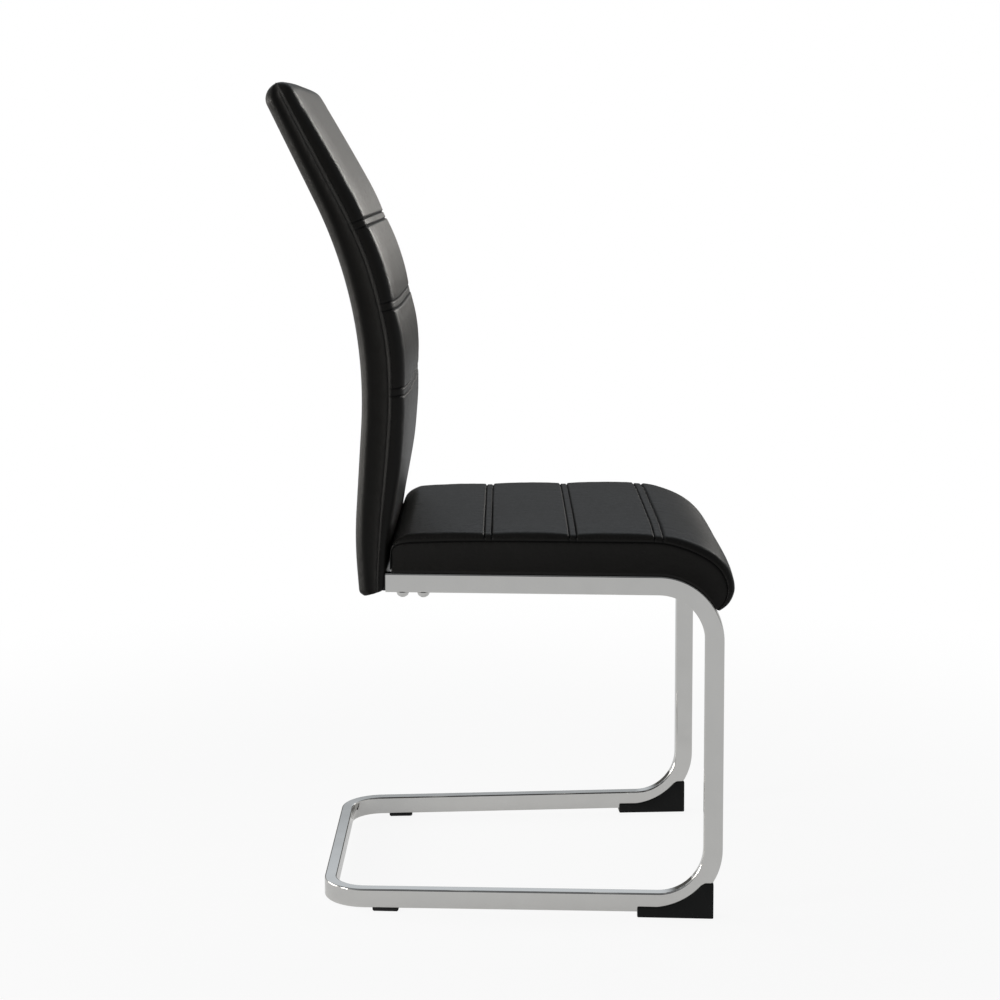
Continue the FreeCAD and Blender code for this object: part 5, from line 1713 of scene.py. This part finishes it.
@dataclass
class SeatCushion(Cushion):
    """The seat: a crowned top panel that runs up the rear, forward and down over the nose.

    The seam's outline gives distances along the base line and heights above it.
    """

    stitch_groove: float = 0.0005
    rear_setback: float = 0.0071
    nose_angle: float = 66.0
    seam_outline: tuple[Pair, ...] = (
        (0.0003, 0.0045), (0.00031, 0.0150), (0.0005, 0.0240), (0.0013, 0.0285), (0.0035, 0.0318),
        (0.0075, 0.0340), (0.0120, 0.0354), (0.0230, 0.0368), (0.0420, 0.0376), (0.0750, 0.0388),
        (0.1100, 0.0395), (0.1600, 0.0398), (0.3000, 0.0398), (0.3180, 0.0396), (0.3280, 0.0383),
        (0.3400, 0.0366), (0.3550, 0.0358), (0.3660, 0.0353), (0.3740, 0.0339), (0.3810, 0.0313),
        (0.3870, 0.0276), (0.3920, 0.0233), (0.3965, 0.0179), (0.3998, 0.0120), (0.4018, 0.0062),
        (0.4026, 0.0026),
    )
    shoulder_rise: float = 0.0093
    shoulder_run: float = 0.0125
    crown: float = 0.0040
    rear_rise: float = 0.0018
    rear_crown: float = 0.0008
    rear_run: float = 0.008
    draw_in: float = 0.0012
    rear_lift: float = 0.0008
    rear_lift_reach: float = 0.006
    piping_radius: float = 0.0015
    piping_inset: float = 0.0020
    tuck: float = 0.024
    board_thickness: float = 0.010
    board_share: float = 0.82
    cloth: float = 0.0008

    @property
    def rear_x(self) -> float:
        """The seat's rear face."""
        return self.layout.rail_rear_x + self.rear_setback

    @cached_property
    def spine(self) -> Spine:
        """Base line: along the rails, then round the upper bend."""
        size = self.layout
        radius = size.outer_bend_radius + size.soft_gap
        straight = size.bend_start_x - self.rear_x
        nose = math.radians(self.nose_angle) * radius
        return Spine(self.rear_x, size.seat_base_z, 90.0, ((straight, 0.0), (nose, self.nose_angle)), -1)

    @cached_property
    def channels(self) -> Channels:
        """The three sewn channels."""
        return Channels(0.1165, 0.101, 3)

    @cached_property
    def seam_line(self) -> tuple[Array, Array, Array, Array]:
        """Numbers along the side seam, distances, points on the middle plane and directions out.

        The outline is walked in even steps and blurred, so that its corners are round. The
        numbers equal the distances half way along, and go below zero on the upright rear part.
        """
        outline = np.array(self.seam_outline)
        walked = walked_along(outline)
        even = np.arange(0.0, walked[-1], 0.0004)
        distance, rise = (blurred(np.interp(even, walked, column), 5) for column in outline.T)
        origin, _, face = self.spine.at(distance)
        points = origin + face * rise[:, None]
        out = unit(np.cross(np.gradient(points, axis=0), ACROSS))
        out = unit(np.stack([blurred(column, 8) for column in out.T], axis=-1))
        return even - even[len(even) // 2] + distance[len(even) // 2], distance, points, out

    def on_seam(self, numbers: Array) -> tuple[Array, Array]:
        """Points of the seam on the middle plane and the panel's outward direction."""
        known, _, points, out = self.seam_line
        return sampled(numbers, known, points), unit(sampled(numbers, known, out))

    def rows(self, step: float) -> Array:
        """Numbers along the seam at which the panel has rows."""
        first, last = self.seam_line[0][[0, -1]]
        plain = np.concatenate(
            (
                np.arange(first, 0.014, step / 2),
                np.arange(0.014, last - 0.030, step),
                np.arange(last - 0.030, last, step / 2),
                (last,),
            )
        )
        return self.channels.rows(plain)

    def panel(self, numbers: Array, inset: float = 0.0) -> Panel:
        """The top panel at numbers along the seam.

        Args:
            numbers: Numbers along the seam.
            inset: How far inside the leather's face it lies.

        Returns:
            Its rows.
        """
        seam, face = self.on_seam(numbers)
        left = self.seam_line[0][-1] - numbers
        front = smooth_step((numbers + 0.006) / 0.030)
        tip_rise = eased(left, (0.0, 0.004, 0.011, 0.024), (0.42, 0.55, 0.74, 1.0), 0.003)
        tip_crown = eased(left, (0.0, 0.020, 0.060), (0.15, 0.6, 1.0), 0.008)
        drop = self.channels.drop(numbers, 0.0, self.seam_line[0][-1]) * smooth_step(left / 0.05)
        return Panel(
            seam - face * inset,
            face,
            self.layout.outer_half_width(seam[:, 0]) - inset,
            self.rear_run + (self.shoulder_run - self.rear_run) * front,
            (self.rear_rise + (self.shoulder_rise - self.rear_rise) * front) * tip_rise,
            (self.rear_crown + (self.crown - self.rear_crown) * front) * tip_crown,
            drop * smooth_step((numbers - 0.004) / 0.02),
        )

    def tip(self, panel: Panel, steps: int = 7, tucked: int = 8) -> Panel:
        """The panel with rows added that close the nose and tuck the leather under it.

        The panel's heights shrink with the cosine of an angle while the row comes down to the
        base with its sine. Then the rows run back below.

        Args:
            panel: The panel up to the tip.
            steps: Rows round the tip.
            tucked: Rows below.

        Returns:
            The longer panel.
        """
        last = self.seam_line[1][-1]
        back = last - np.concatenate((np.zeros(steps), np.linspace(0, self.tuck, tucked + 1)[1:]))
        origin, _, face = self.spine.at(back)
        angles = np.linspace(0.0, math.pi / 2, steps + 1)[1:]
        lowest = 0.0002
        end_rise = float((panel.seam[-1] - origin[0]) @ face[0])
        rise = np.concatenate((lowest + (end_rise - lowest) * (1 - np.sin(angles)), np.full(tucked, lowest)))
        shrink = np.concatenate((np.cos(angles), np.zeros(tucked)))
        ones = np.ones(steps + tucked)

        def longer(values: Array, shares: Array) -> Array:
            """Values with shares of the last one added."""
            return np.concatenate((values, values[-1] * shares))

        return Panel(
            np.concatenate((panel.seam, origin + face * rise[:, None])),
            np.concatenate((panel.face, np.repeat(panel.face[-1:], steps + tucked, axis=0))),
            longer(panel.half_width, ones) - 0.0015 * np.concatenate((np.zeros(len(panel.seam)), 1 - shrink)),
            longer(panel.run, ones),
            longer(panel.rise, shrink),
            longer(panel.crown, shrink),
            longer(panel.drop, 0 * ones),
        )

    def top_cover(self, stitches: StitchBook) -> None:
        """The top panel, closed round the tip, with a stitch line along both sides."""
        rows = self.rows(self.step)
        panel = self.panel(rows)
        walked = panel.walked(self.across)[len(rows) // 2, : self.across.shoulder_steps]
        column = int(np.argmin(np.abs(walked - self.stitch_inset)))
        whole, columns = self.tip(panel), (column, -1 - column)
        self.crowned_cover("seat_cover_top", "seat_top_cover", rows, whole, columns, stitches)

    def side_panel(self, side: Side) -> None:
        """A side panel, drawn in between its edges and folded under the board.

        Its height goes from the base line up to the seam. The draw-in is a parabola of that
        share, a tuck draws its upper edge into the seam, and the first columns run inwards
        along the base. The rear corner is lifted by an exponential of the distance.
        """
        _, distances, points, _ = self.seam_line
        end = distances[-1]
        rear, middle = np.linspace(distances[0], 0.012, 10), np.arange(0.0145, 0.385, self.step)
        distance = np.concatenate((rear, middle, np.arange(0.386, end, 0.0008), (end,)))
        upper = np.arange(len(distances)) > np.argmax(distances > 0.0009)
        origin, _, face = self.spine.at(distances[upper])
        rises = np.einsum("ij,ij->i", points[upper] - origin, face)
        top = np.interp(distance, distances[upper], rises)
        origin, _, face = self.spine.at(distance)
        low = 0.0002 + self.rear_lift * np.exp(-distance / self.rear_lift_reach)
        shares = 1 - np.linspace(1.0, 0.0, 19) ** 1.6
        width = self.layout.outer_half_width(origin[:, 0] + face[:, 0] * top)[:, None]
        bow = self.draw_in * np.minimum(1.0, top / 0.02)[:, None] * (1 - (2 * shares - 1) ** 2)
        away = (top - low)[:, None] * (1 - shares)
        along = np.broadcast_to(distance[:, None], bow.shape)
        relief = self.gathers.beside(along, away, 41 + side.value) * 0.8
        y = width - 0.0003 - bow - 0.0012 * np.exp(-away / 0.0013) + relief
        rise = low[:, None] + (top - low)[:, None] * shares
        y = np.concatenate((width - 0.0004 - np.array((0.014, 0.008, 0.0012)), y), axis=1)
        rise = np.concatenate((np.repeat(low[:, None], 3, axis=1), rise), axis=1)
        grid = origin[:, None, :] + ACROSS * y[..., None] + face[:, None, :] * rise[..., None]
        grid = grid * (1.0, side.value, 1.0)
        faces, _ = skin(grid, ACROSS * side.value)
        # Share of painted seam shade, fading from the top seam.
        crease = np.concatenate((np.zeros((len(distance), 3)), 0.8 * np.exp(-away / 0.0016)), axis=1)
        self.leather_piece(f"seat_panel_{side.word}", f"seat_side_panel_{side.word}", grid, faces, crease)

    def piping(self, side: Side) -> None:
        """The thin cord in the side seam, sunk between the top panel and the side panel."""
        numbers = np.arange(self.seam_line[0][0], self.seam_line[0][-1], 0.0016)
        line = self.on_seam(numbers)[0]
        line[:, 1] = (self.layout.outer_half_width(line[:, 0]) - self.piping_inset) * side.value
        walked = numbers - numbers[0]
        radius = self.piping_radius * rounded(np.minimum(walked, walked[::-1]) / 0.0032)
        points, faces = tube_mesh(line, np.maximum(radius, 1e-6), 14)
        name, node = f"seat_cord_{side.word}", f"seat_piping_{side.word}"
        piece = MeshMaker.add(name, points, faces, self.finishes.piping, Slot.PIPING, (node,))
        MeshMaker.welded(piece, 1e-5)

    def foam(self) -> None:
        """The foam under the cover: the panel moved in, closed round below to the board.

        Each row is a closed ring: the crowned top, then straight down the sides and across.
        """
        known, distances, points, _ = self.seam_line
        numbers = self.rows(0.008)
        numbers = numbers[(numbers > 0.006) & (numbers < known[-1] - 0.022)]
        panel = self.panel(numbers, 0.0024)
        top = panel.surface(Across(6, 24))
        distance = np.interp(numbers, known, distances)
        origin, _, face = self.spine.at(distance)
        low = np.full(len(numbers), self.cloth + self.board_thickness + 0.0003)
        shares = np.linspace(0.0, 1.0, 6)[1:, None]
        sides = []
        for end, sign in ((-1, -1.0), (0, 1.0)):
            foot = origin + face * low[:, None] + ACROSS * (sign * (panel.half_width - 0.0024))[:, None]
            edge = top[:, end] * (1.0, 0.99, 1.0)
            sides.append(edge[:, None] + (foot - edge)[:, None] * shares)
        self.foam_block("seat_core", "seat_foam", np.concatenate((top, sides[0], sides[1][:, ::-1]), axis=1))

    def dust_cloth(self) -> None:
        """The cloth stapled under the board, which sags a little between its edges.

        The sag is the product of two half sine waves, one along and one across.
        """
        straight, nose = (length for length, _ in self.spine.stretches)
        distance = np.linspace(0.004, straight + nose * self.board_share, 90)
        origin, _, face = self.spine.at(distance)
        side = np.linspace(1.0, -1.0, 60)
        width = self.layout.outer_half_width(origin[:, 0]) - 0.0125
        fields = np.abs(np.sin(distance / 0.2 * math.pi - 1.09))
        sag = 0.0011 * fields[:, None] * np.sqrt(1 - side**2)
        rise = 0.0006 - sag * (np.abs(side) < 0.93)
        y = width[:, None] * side
        points = origin[:, None, :] + ACROSS * y[..., None] + face[:, None, :] * rise[..., None]
        faces, _ = skin(points, -UP)
        node = ("seat_dust_cover",)
        piece = MeshMaker.add("seat_dust_cloth", points, faces, self.finishes.cloth, Slot.CLOTH, node)
        MeshMaker.thicken(piece, 0.0005)

    def build(self) -> None:
        """Make every piece of the seat."""
        stitches = StitchBook(Stitching())
        self.top_cover(stitches)
        for side in Side:
            self.side_panel(side)
            self.piping(side)
        self.foam()
        self.dust_cloth()
        stitches.make("seat_stitches", self.finishes.thread)


@dataclass
class BackrestCushion(Cushion):
    """The backrest: a curved cushion with a front panel, and one that wraps sides and rear."""

    seed: int = 51
    seat_rear_x: float = -0.134
    seat_gap: float = 0.0029
    side_overhang: float = 0.00235
    bottom_drop: float = 0.0065
    waist_height: float = 0.068
    waist_depth: float = 0.0405
    leans: tuple[float, float, float] = (4.5, -3.5, 26.0)
    lower_run: float = 0.034
    lumbar_radius: float = 0.500
    middle_run: float = 0.1005
    shoulder_radius: float = 0.540
    upper_run: float = 0.1455
    top_corner: float = 0.020
    top_round: float = 0.019
    bottom_round: float = 0.008
    bottom_loss: float = 0.25
    bottom_slant: float = 0.0075
    rear_corner: float = 0.011
    shoulder_run: float = 0.018
    crown: float = 0.004
    draw_in: float = 0.0016
    places: tuple[float, ...] = (0.008, 0.030, 0.068, 0.160, 0.300, 0.405, 0.480, 0.600)
    rear_depths: tuple[float, ...] = (0.021, 0.024, 0.028, 0.031, 0.033, 0.029, 0.024, 0.021)
    front_depths: tuple[float, ...] = (0.0115, 0.0120, 0.0125, 0.018, 0.020, 0.020, 0.021, 0.016)
    crown_shares: tuple[float, ...] = (0.1, 0.15, 0.4, 1.0, 1.0, 1.0, 1.0, 1.0)

    @cached_property
    def spine(self) -> Spine:
        """Rear face: straight, curved forward, straight, curved back and straight."""
        lower, lumbar, upper = self.leans
        shift = self.waist_height * math.sin(math.radians(lower))
        rear_x = self.seat_rear_x - self.seat_gap - self.waist_depth + shift
        bottom = self.layout.rail_top_z - self.layout.tube_height - self.bottom_drop
        stretches = (
            (self.lower_run, 0.0),
            (math.radians(lower - lumbar) * self.lumbar_radius, lower - lumbar),
            (self.middle_run, 0.0),
            (math.radians(upper - lumbar) * self.shoulder_radius, lumbar - upper),
            (self.upper_run, 0.0),
        )
        return Spine(rear_x, bottom, -lower, stretches, 1)

    @cached_property
    def channels(self) -> Channels:
        """The three sewn channels."""
        return Channels(0.247, 0.0955, 3)

    @property
    def half_width(self) -> float:
        """Half width below the top corners."""
        return float(self.layout.outer_half_width(self.layout.rail_rear_x)) + self.side_overhang

    def depth_share(self, distance: Array) -> Array:
        """Share of the full depth: a quarter circle at the top, a small loss at the bottom."""
        top = rounded((self.spine.length - distance) / self.top_round)
        return top * (1 - self.bottom_loss * np.maximum(0.0, 1 - distance / self.bottom_round) ** 2)

    def rows(self, step: float) -> Array:
        """Distances up the rear face at which there are rows."""
        angles = np.linspace(0.0, math.pi / 2, 15)
        top = self.spine.length - self.top_corner * (1 - np.sin(angles))
        plain = np.concatenate((np.linspace(0, 0.012, 7), np.arange(0.0145, top[0] - step / 2, step), top))
        return self.channels.rows(plain)

    def panel(self, distance: Array, inset: float = 0.0) -> Panel:
        """The front panel at distances up the rear face.

        Args:
            distance: Distances.
            inset: How far inside the leather's face it lies.

        Returns:
            Its rows.
        """
        origin, _, face = self.spine.at(distance)
        rear, front, crown = (
            eased(distance, self.places, values, 0.03)
            for values in (self.rear_depths, self.front_depths, self.crown_shares)
        )
        share = self.depth_share(distance)
        from_top = (self.spine.length - distance) / self.top_corner
        return Panel(
            origin + face * rear[:, None],
            face,
            self.half_width - self.top_corner * (1 - rounded(from_top)) - inset,
            np.full(distance.shape, self.shoulder_run),
            np.maximum(front * share - inset, 0.0),
            self.crown * crown * share,
            self.channels.drop(distance, 0.06, self.spine.length * 0.995) * share,
            tuck=0.0006,
        )

    def behind(self, distance: Array, panel: Panel, inset: float = 0.0) -> Array:
        """Sides and rear from the left seam round to the right one.

        The side is straight with a parabolic draw-in, the corner a quarter circle and the rear
        straight with a slight bulge.

        Args:
            distance: Distances up the rear face.
            panel: The front panel there.
            inset: How far inside the leather's face it lies.

        Returns:
            A grid of points.
        """
        rear = eased(distance, self.places, self.rear_depths, 0.03) * self.depth_share(distance)
        depth = np.maximum(rear - inset, 1e-5)[:, None]
        radius = np.minimum(self.rear_corner, depth * 0.6)
        width = panel.half_width[:, None]
        shares = np.linspace(0.0, 1.0, 13)[None, :] ** 1.5
        side_back = shares * (depth - radius)
        tuck = panel.tuck * np.exp(-side_back / panel.tuck_reach)
        side_y = width - np.minimum(self.draw_in, depth / 8) * (1 - (2 * shares - 1) ** 2) - tuck
        angles = np.linspace(0.0, math.pi / 2, 9)[None, 1:]
        corner_y = width - radius + radius * np.cos(angles)
        corner_back = depth - radius + radius * np.sin(angles)
        across = np.linspace(1.0, -1.0, 58)[None, 1:-1]
        rear_y = (width - radius) * across
        rear_back = depth + np.minimum(0.0012, depth / 10) * (1 - across**2)
        y = np.concatenate((side_y, corner_y, rear_y, -corner_y[:, ::-1], -side_y[:, ::-1]), axis=1)
        back = (side_back, corner_back, rear_back, corner_back[:, ::-1], side_back[:, ::-1])
        back = np.concatenate(back, axis=1)
        return panel.seam[:, None, :] + ACROSS * y[..., None] - panel.face[:, None, :] * back[..., None]

    def settled(self, points: Array, rows: Array) -> Array:
        """The points with the lower edge drawn up towards the front.

        Each moves up by its depth from the rear face times the slant, less with an exponential
        of the distance from the lower edge.
        """
        origin, along, face = self.spine.at(rows)
        depth = np.einsum("rcx,rx->rc", points - origin[:, None, :], face)
        lift = self.bottom_slant * depth / 0.035 * np.exp(-rows / 0.012)[:, None]
        return points + along[:, None, :] * lift[..., None]

    def rear_cover(self) -> None:
        """The panel round the sides and the rear, sewn to the front panel at both sides and the top."""
        distance = self.rows(self.step * 1.6)
        panel = self.panel(distance)
        points = self.settled(self.behind(distance, panel), distance)
        along = np.broadcast_to(distance[:, None], points.shape[:2])
        away = np.linalg.norm(points - points[:, :1], axis=-1)
        other = np.linalg.norm(points - points[:, -1:], axis=-1)
        lift = self.gathers.beside(along, away, 81) + self.gathers.beside(along, other, 82)
        faces, normals = skin(points, -panel.face[len(points) // 2])
        points = points + normals * (lift * smooth_step((self.spine.length - along) / 0.02))[..., None]
        # Share of painted seam shade, fading from the seams at both edges.
        crease = 0.9 * np.exp(-np.minimum(away, other) / 0.0016)
        self.leather_piece("back_cover_rear", "backrest_rear_cover", points, faces, crease)

    def ring(self, distance: Array, inset: float, across: Across) -> Array:
        """Closed rings round the whole cushion: the front panel, then the sides and the rear."""
        panel = self.panel(distance, inset)
        rear = self.behind(distance, panel, inset)
        rings = np.concatenate((panel.surface(across), rear[:, ::-1][:, 1:-1]), axis=1)
        return self.settled(rings, distance)

    def bottom_flap(self) -> None:
        """The flap that closes the lower edge: the ring there, drawn together to a slight dome.

        Each point moves along the depth towards the middle line by a share, while the dome
        falls as the root of one less the squared share.
        """
        low = np.array([0.001])
        ring = self.ring(low, 0.0014, Across(8, 60))[0]
        origin, along, face = (value[0] for value in self.spine.at(low))
        depth = (ring - origin) @ face
        middle = (depth.min() + depth.max()) / 2
        slope = self.bottom_slant / 0.035 * math.exp(-low[0] / 0.012)
        way = face + along * slope
        shares = np.linspace(1.0, 0.0, 9)[:, None]
        moved = ring - way * ((depth - middle) * (1 - shares))[..., None]
        points = moved - along * (0.0012 * np.sqrt(1 - shares**2))[..., None]
        faces = facing_out(points.reshape(-1, 3), quads(*points.shape[:2], False, True), origin + along * 0.2)
        piece = self.leather_piece("back_flap", "backrest_bottom_flap", points, faces)
        MeshMaker.welded(piece, 1e-6)

    def foam(self) -> None:
        """The foam inside: the same rings, moved in."""
        distance = self.rows(0.010)
        distance = distance[(distance > 0.002) & (distance < self.spine.length - 0.004)]
        self.foam_block("back_core", "backrest_foam", self.ring(distance, 0.0020, Across(6, 24)))

    def build(self) -> None:
        """Make every piece of the backrest."""
        stitches = StitchBook(Stitching())
        rows = self.rows(self.step)
        panel = self.panel(rows)
        self.crowned_cover("back_cover_front", "backrest_front_cover", rows, panel, (1, -2), stitches)
        self.rear_cover()
        self.bottom_flap()
        self.foam()
        stitches.make("back_stitches", self.finishes.thread)


@dataclass
class HiddenGear:
    """Steel, board and nuts inside the chair: the frame's own solids with their finishes."""

    nodes: dict[str, bpy.types.Object]
    finishes: Finishes

    def build(self) -> None:
        """Give each solid that stays its finish."""
        powder = ("backrest_upright_left", "backrest_upright_right")
        powder += ("backrest_tube_bottom", "backrest_tube_middle", "backrest_tube_top")
        powder += ("backrest_stub_left", "backrest_stub_right")
        zinc = ("seat_tee_nuts", "foot_screws")
        for names, material in (
            (powder, self.finishes.powder),
            (zinc, self.finishes.zinc),
            (("seat_board",), self.finishes.plywood),
        ):
            for name in names:
                node = self.nodes[name]
                node.data.materials.clear()
                node.data.materials.append(material)
                LOG.info("%s: kept", name)


# The studio


@dataclass(frozen=True)
class Lamp:
    """A soft rectangular lamp: where it stands and points, its width and height, watts and beam."""

    name: str
    place: Triple
    target: Triple
    size: Pair
    power: float
    spread: float
    colour: Colour = (1.0, 0.97, 0.92)

    def build(self) -> None:
        """Put the lamp in the scene, out of the camera's sight."""
        data = bpy.data.lights.new(self.name, "AREA")
        data.shape = "RECTANGLE"
        data.size, data.size_y = self.size
        data.energy = self.power
        data.color = self.colour
        data.spread = math.radians(self.spread)
        lamp = bpy.data.objects.new(self.name, data)
        lamp.location = self.place
        lamp.visible_camera = False
        way = Vector(self.target) - Vector(self.place)
        lamp.rotation_euler = way.to_track_quat("-Z", "Y").to_euler()
        bpy.context.scene.collection.objects.link(lamp)


@dataclass
class Studio:
    """White floor and surround, soft lamps and the camera of the photograph."""

    camera_place: Triple = (0.00117, -2.63255, 0.90208)
    camera_yaw: float = -0.0018
    camera_pitch: float = 0.0804
    focal_pixels: float = 2065.357
    image_pixels: int = 1000
    axis_row: float = 332.0
    sensor: float = 36.0
    floor_size: float = 14.0
    floor_white: Pair = (0.90, 1.0)
    floor_radii: Pair = (0.45, 1.7)
    floor_glow: Pair = (0.46, 1.0)
    lamps: tuple[Lamp, ...] = (
        Lamp("right_rear_lamp", (1.25, 2.2, 1.72), (-0.40, 0.0, 1.0), (1.0, 1.2), 2.1, 25.0),
        Lamp("left_lamp", (-2.3, 0.5, 0.8), (-0.2, 0.0, 0.75), (1.5, 1.3), 7.0, 70.0),
        Lamp("near_left_lamp", (-2.1, -1.1, 0.9), (-0.2, 0.0, 0.8), (0.8, 1.2), 5.0, 40.0),
    )

    def camera(self) -> None:
        """The camera: an optical axis below the horizon, and a frame that reaches further down."""
        data = bpy.data.cameras.new("camera")
        data.sensor_width = self.sensor
        data.lens = self.focal_pixels * self.sensor / self.image_pixels
        data.shift_y = (self.axis_row - self.image_pixels / 2) / self.image_pixels
        data.clip_end = 60.0
        camera = bpy.data.objects.new("camera", data)
        camera.location = self.camera_place
        camera.rotation_euler = (math.pi / 2 - self.camera_pitch, 0.0, -self.camera_yaw)
        bpy.context.scene.collection.objects.link(camera)
        bpy.context.scene.camera = camera

    def floor(self) -> None:
        """The floor: pale paper that turns to plain white away from the chair.

        A share of its light is plain white. The share grows with the distance from the chair,
        so that the shadow stays soft and the floor has no far edge, and it is less in reflections.
        """
        half = self.floor_size / 2
        places = np.linspace(-half, half, 3)
        x, y = np.meshgrid(places, places)
        points = np.stack((x, y, np.full_like(x, -0.0002)), axis=-1)
        mesh = bpy.data.meshes.new("floor")
        mesh.from_pydata(points.reshape(-1, 3), [], quads(3, 3)[:, ::-1])
        mesh.update()
        board = NodeBoard.named("floor_paper")
        length = board.add("ShaderNodeVectorMath", operation="LENGTH")
        board.links.new(board.place, length.inputs[0])
        white = board.ramp(length.outputs["Value"], self.floor_radii, self.floor_white, soft=True)
        seen = board.add("ShaderNodeLightPath").outputs["Is Camera Ray"]
        share = board.math("MULTIPLY", white, board.ramp(seen, (0.0, 1.0), self.floor_glow))
        paper = board.mix(seen, (0.88, 0.88, 0.88), (0.97, 0.97, 0.97))
        board.set(Base_Color=board.mix(share, paper, (0.0, 0.0, 0.0)))
        board.set(Roughness=0.9, Specular_IOR_Level=0.0)
        board.set(Emission_Color=(1.0, 1.0, 1.0), Emission_Strength=share)
        mesh.materials.append(board.owner)
        floor = bpy.data.objects.new("floor", mesh)
        bpy.context.scene.collection.objects.link(floor)

    def surround(self) -> None:
        """World light: white to the camera, a studio of soft walls to the chair and its chrome.

        The wall behind the chair is dim low down and bright above. The sides are bright, and the
        ceiling and the side of the camera are dark.
        """
        world = bpy.data.worlds.new("surround")
        bpy.context.scene.world = world
        board = NodeBoard(world)
        low = board.ramp(board.axis(2), (0.23, 0.35), soft=True)
        walls = board.mix(low, (0.10, 0.098, 0.092), (0.76, 0.80, 0.84))
        aside = board.ramp(board.math("ABSOLUTE", board.axis(0)), (0.35, 0.85), soft=True)
        walls = board.mix(aside, walls, (0.62, 0.62, 0.61))
        high = board.ramp(board.axis(2), (0.42, 0.80), soft=True)
        walls = board.mix(high, walls, (0.26, 0.27, 0.28))
        dark = board.ramp(board.math("MULTIPLY", board.axis(1), -1.0), (0.55, 0.85), soft=True)
        walls = board.mix(dark, walls, (0.07, 0.07, 0.07))
        seen = board.add("ShaderNodeLightPath").outputs["Is Camera Ray"]
        board.set(Color=board.mix(seen, walls, (1.0, 1.0, 1.0)), Strength=1.0)

    def build(self) -> None:
        """Set up the camera, the floor, the surround and the lamps."""
        bpy.context.scene.view_settings.view_transform = "Standard"
        self.camera()
        self.floor()
        self.surround()
        for lamp in self.lamps:
            lamp.build()


def main() -> None:
    """Load the frame, and build the chair and the studio."""
    logging.basicConfig(level=logging.INFO, format="%(name)s: %(message)s")
    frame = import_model()
    layout = Layout()
    finishes = Finishes()
    Studio().build()
    for assembly in (SteelFrame, FloorGear, Screws, SeatCushion, BackrestCushion):
        assembly(layout, finishes).build()
    HiddenGear(frame["nodes"], finishes).build()


if __name__ == "__main__":
    main()
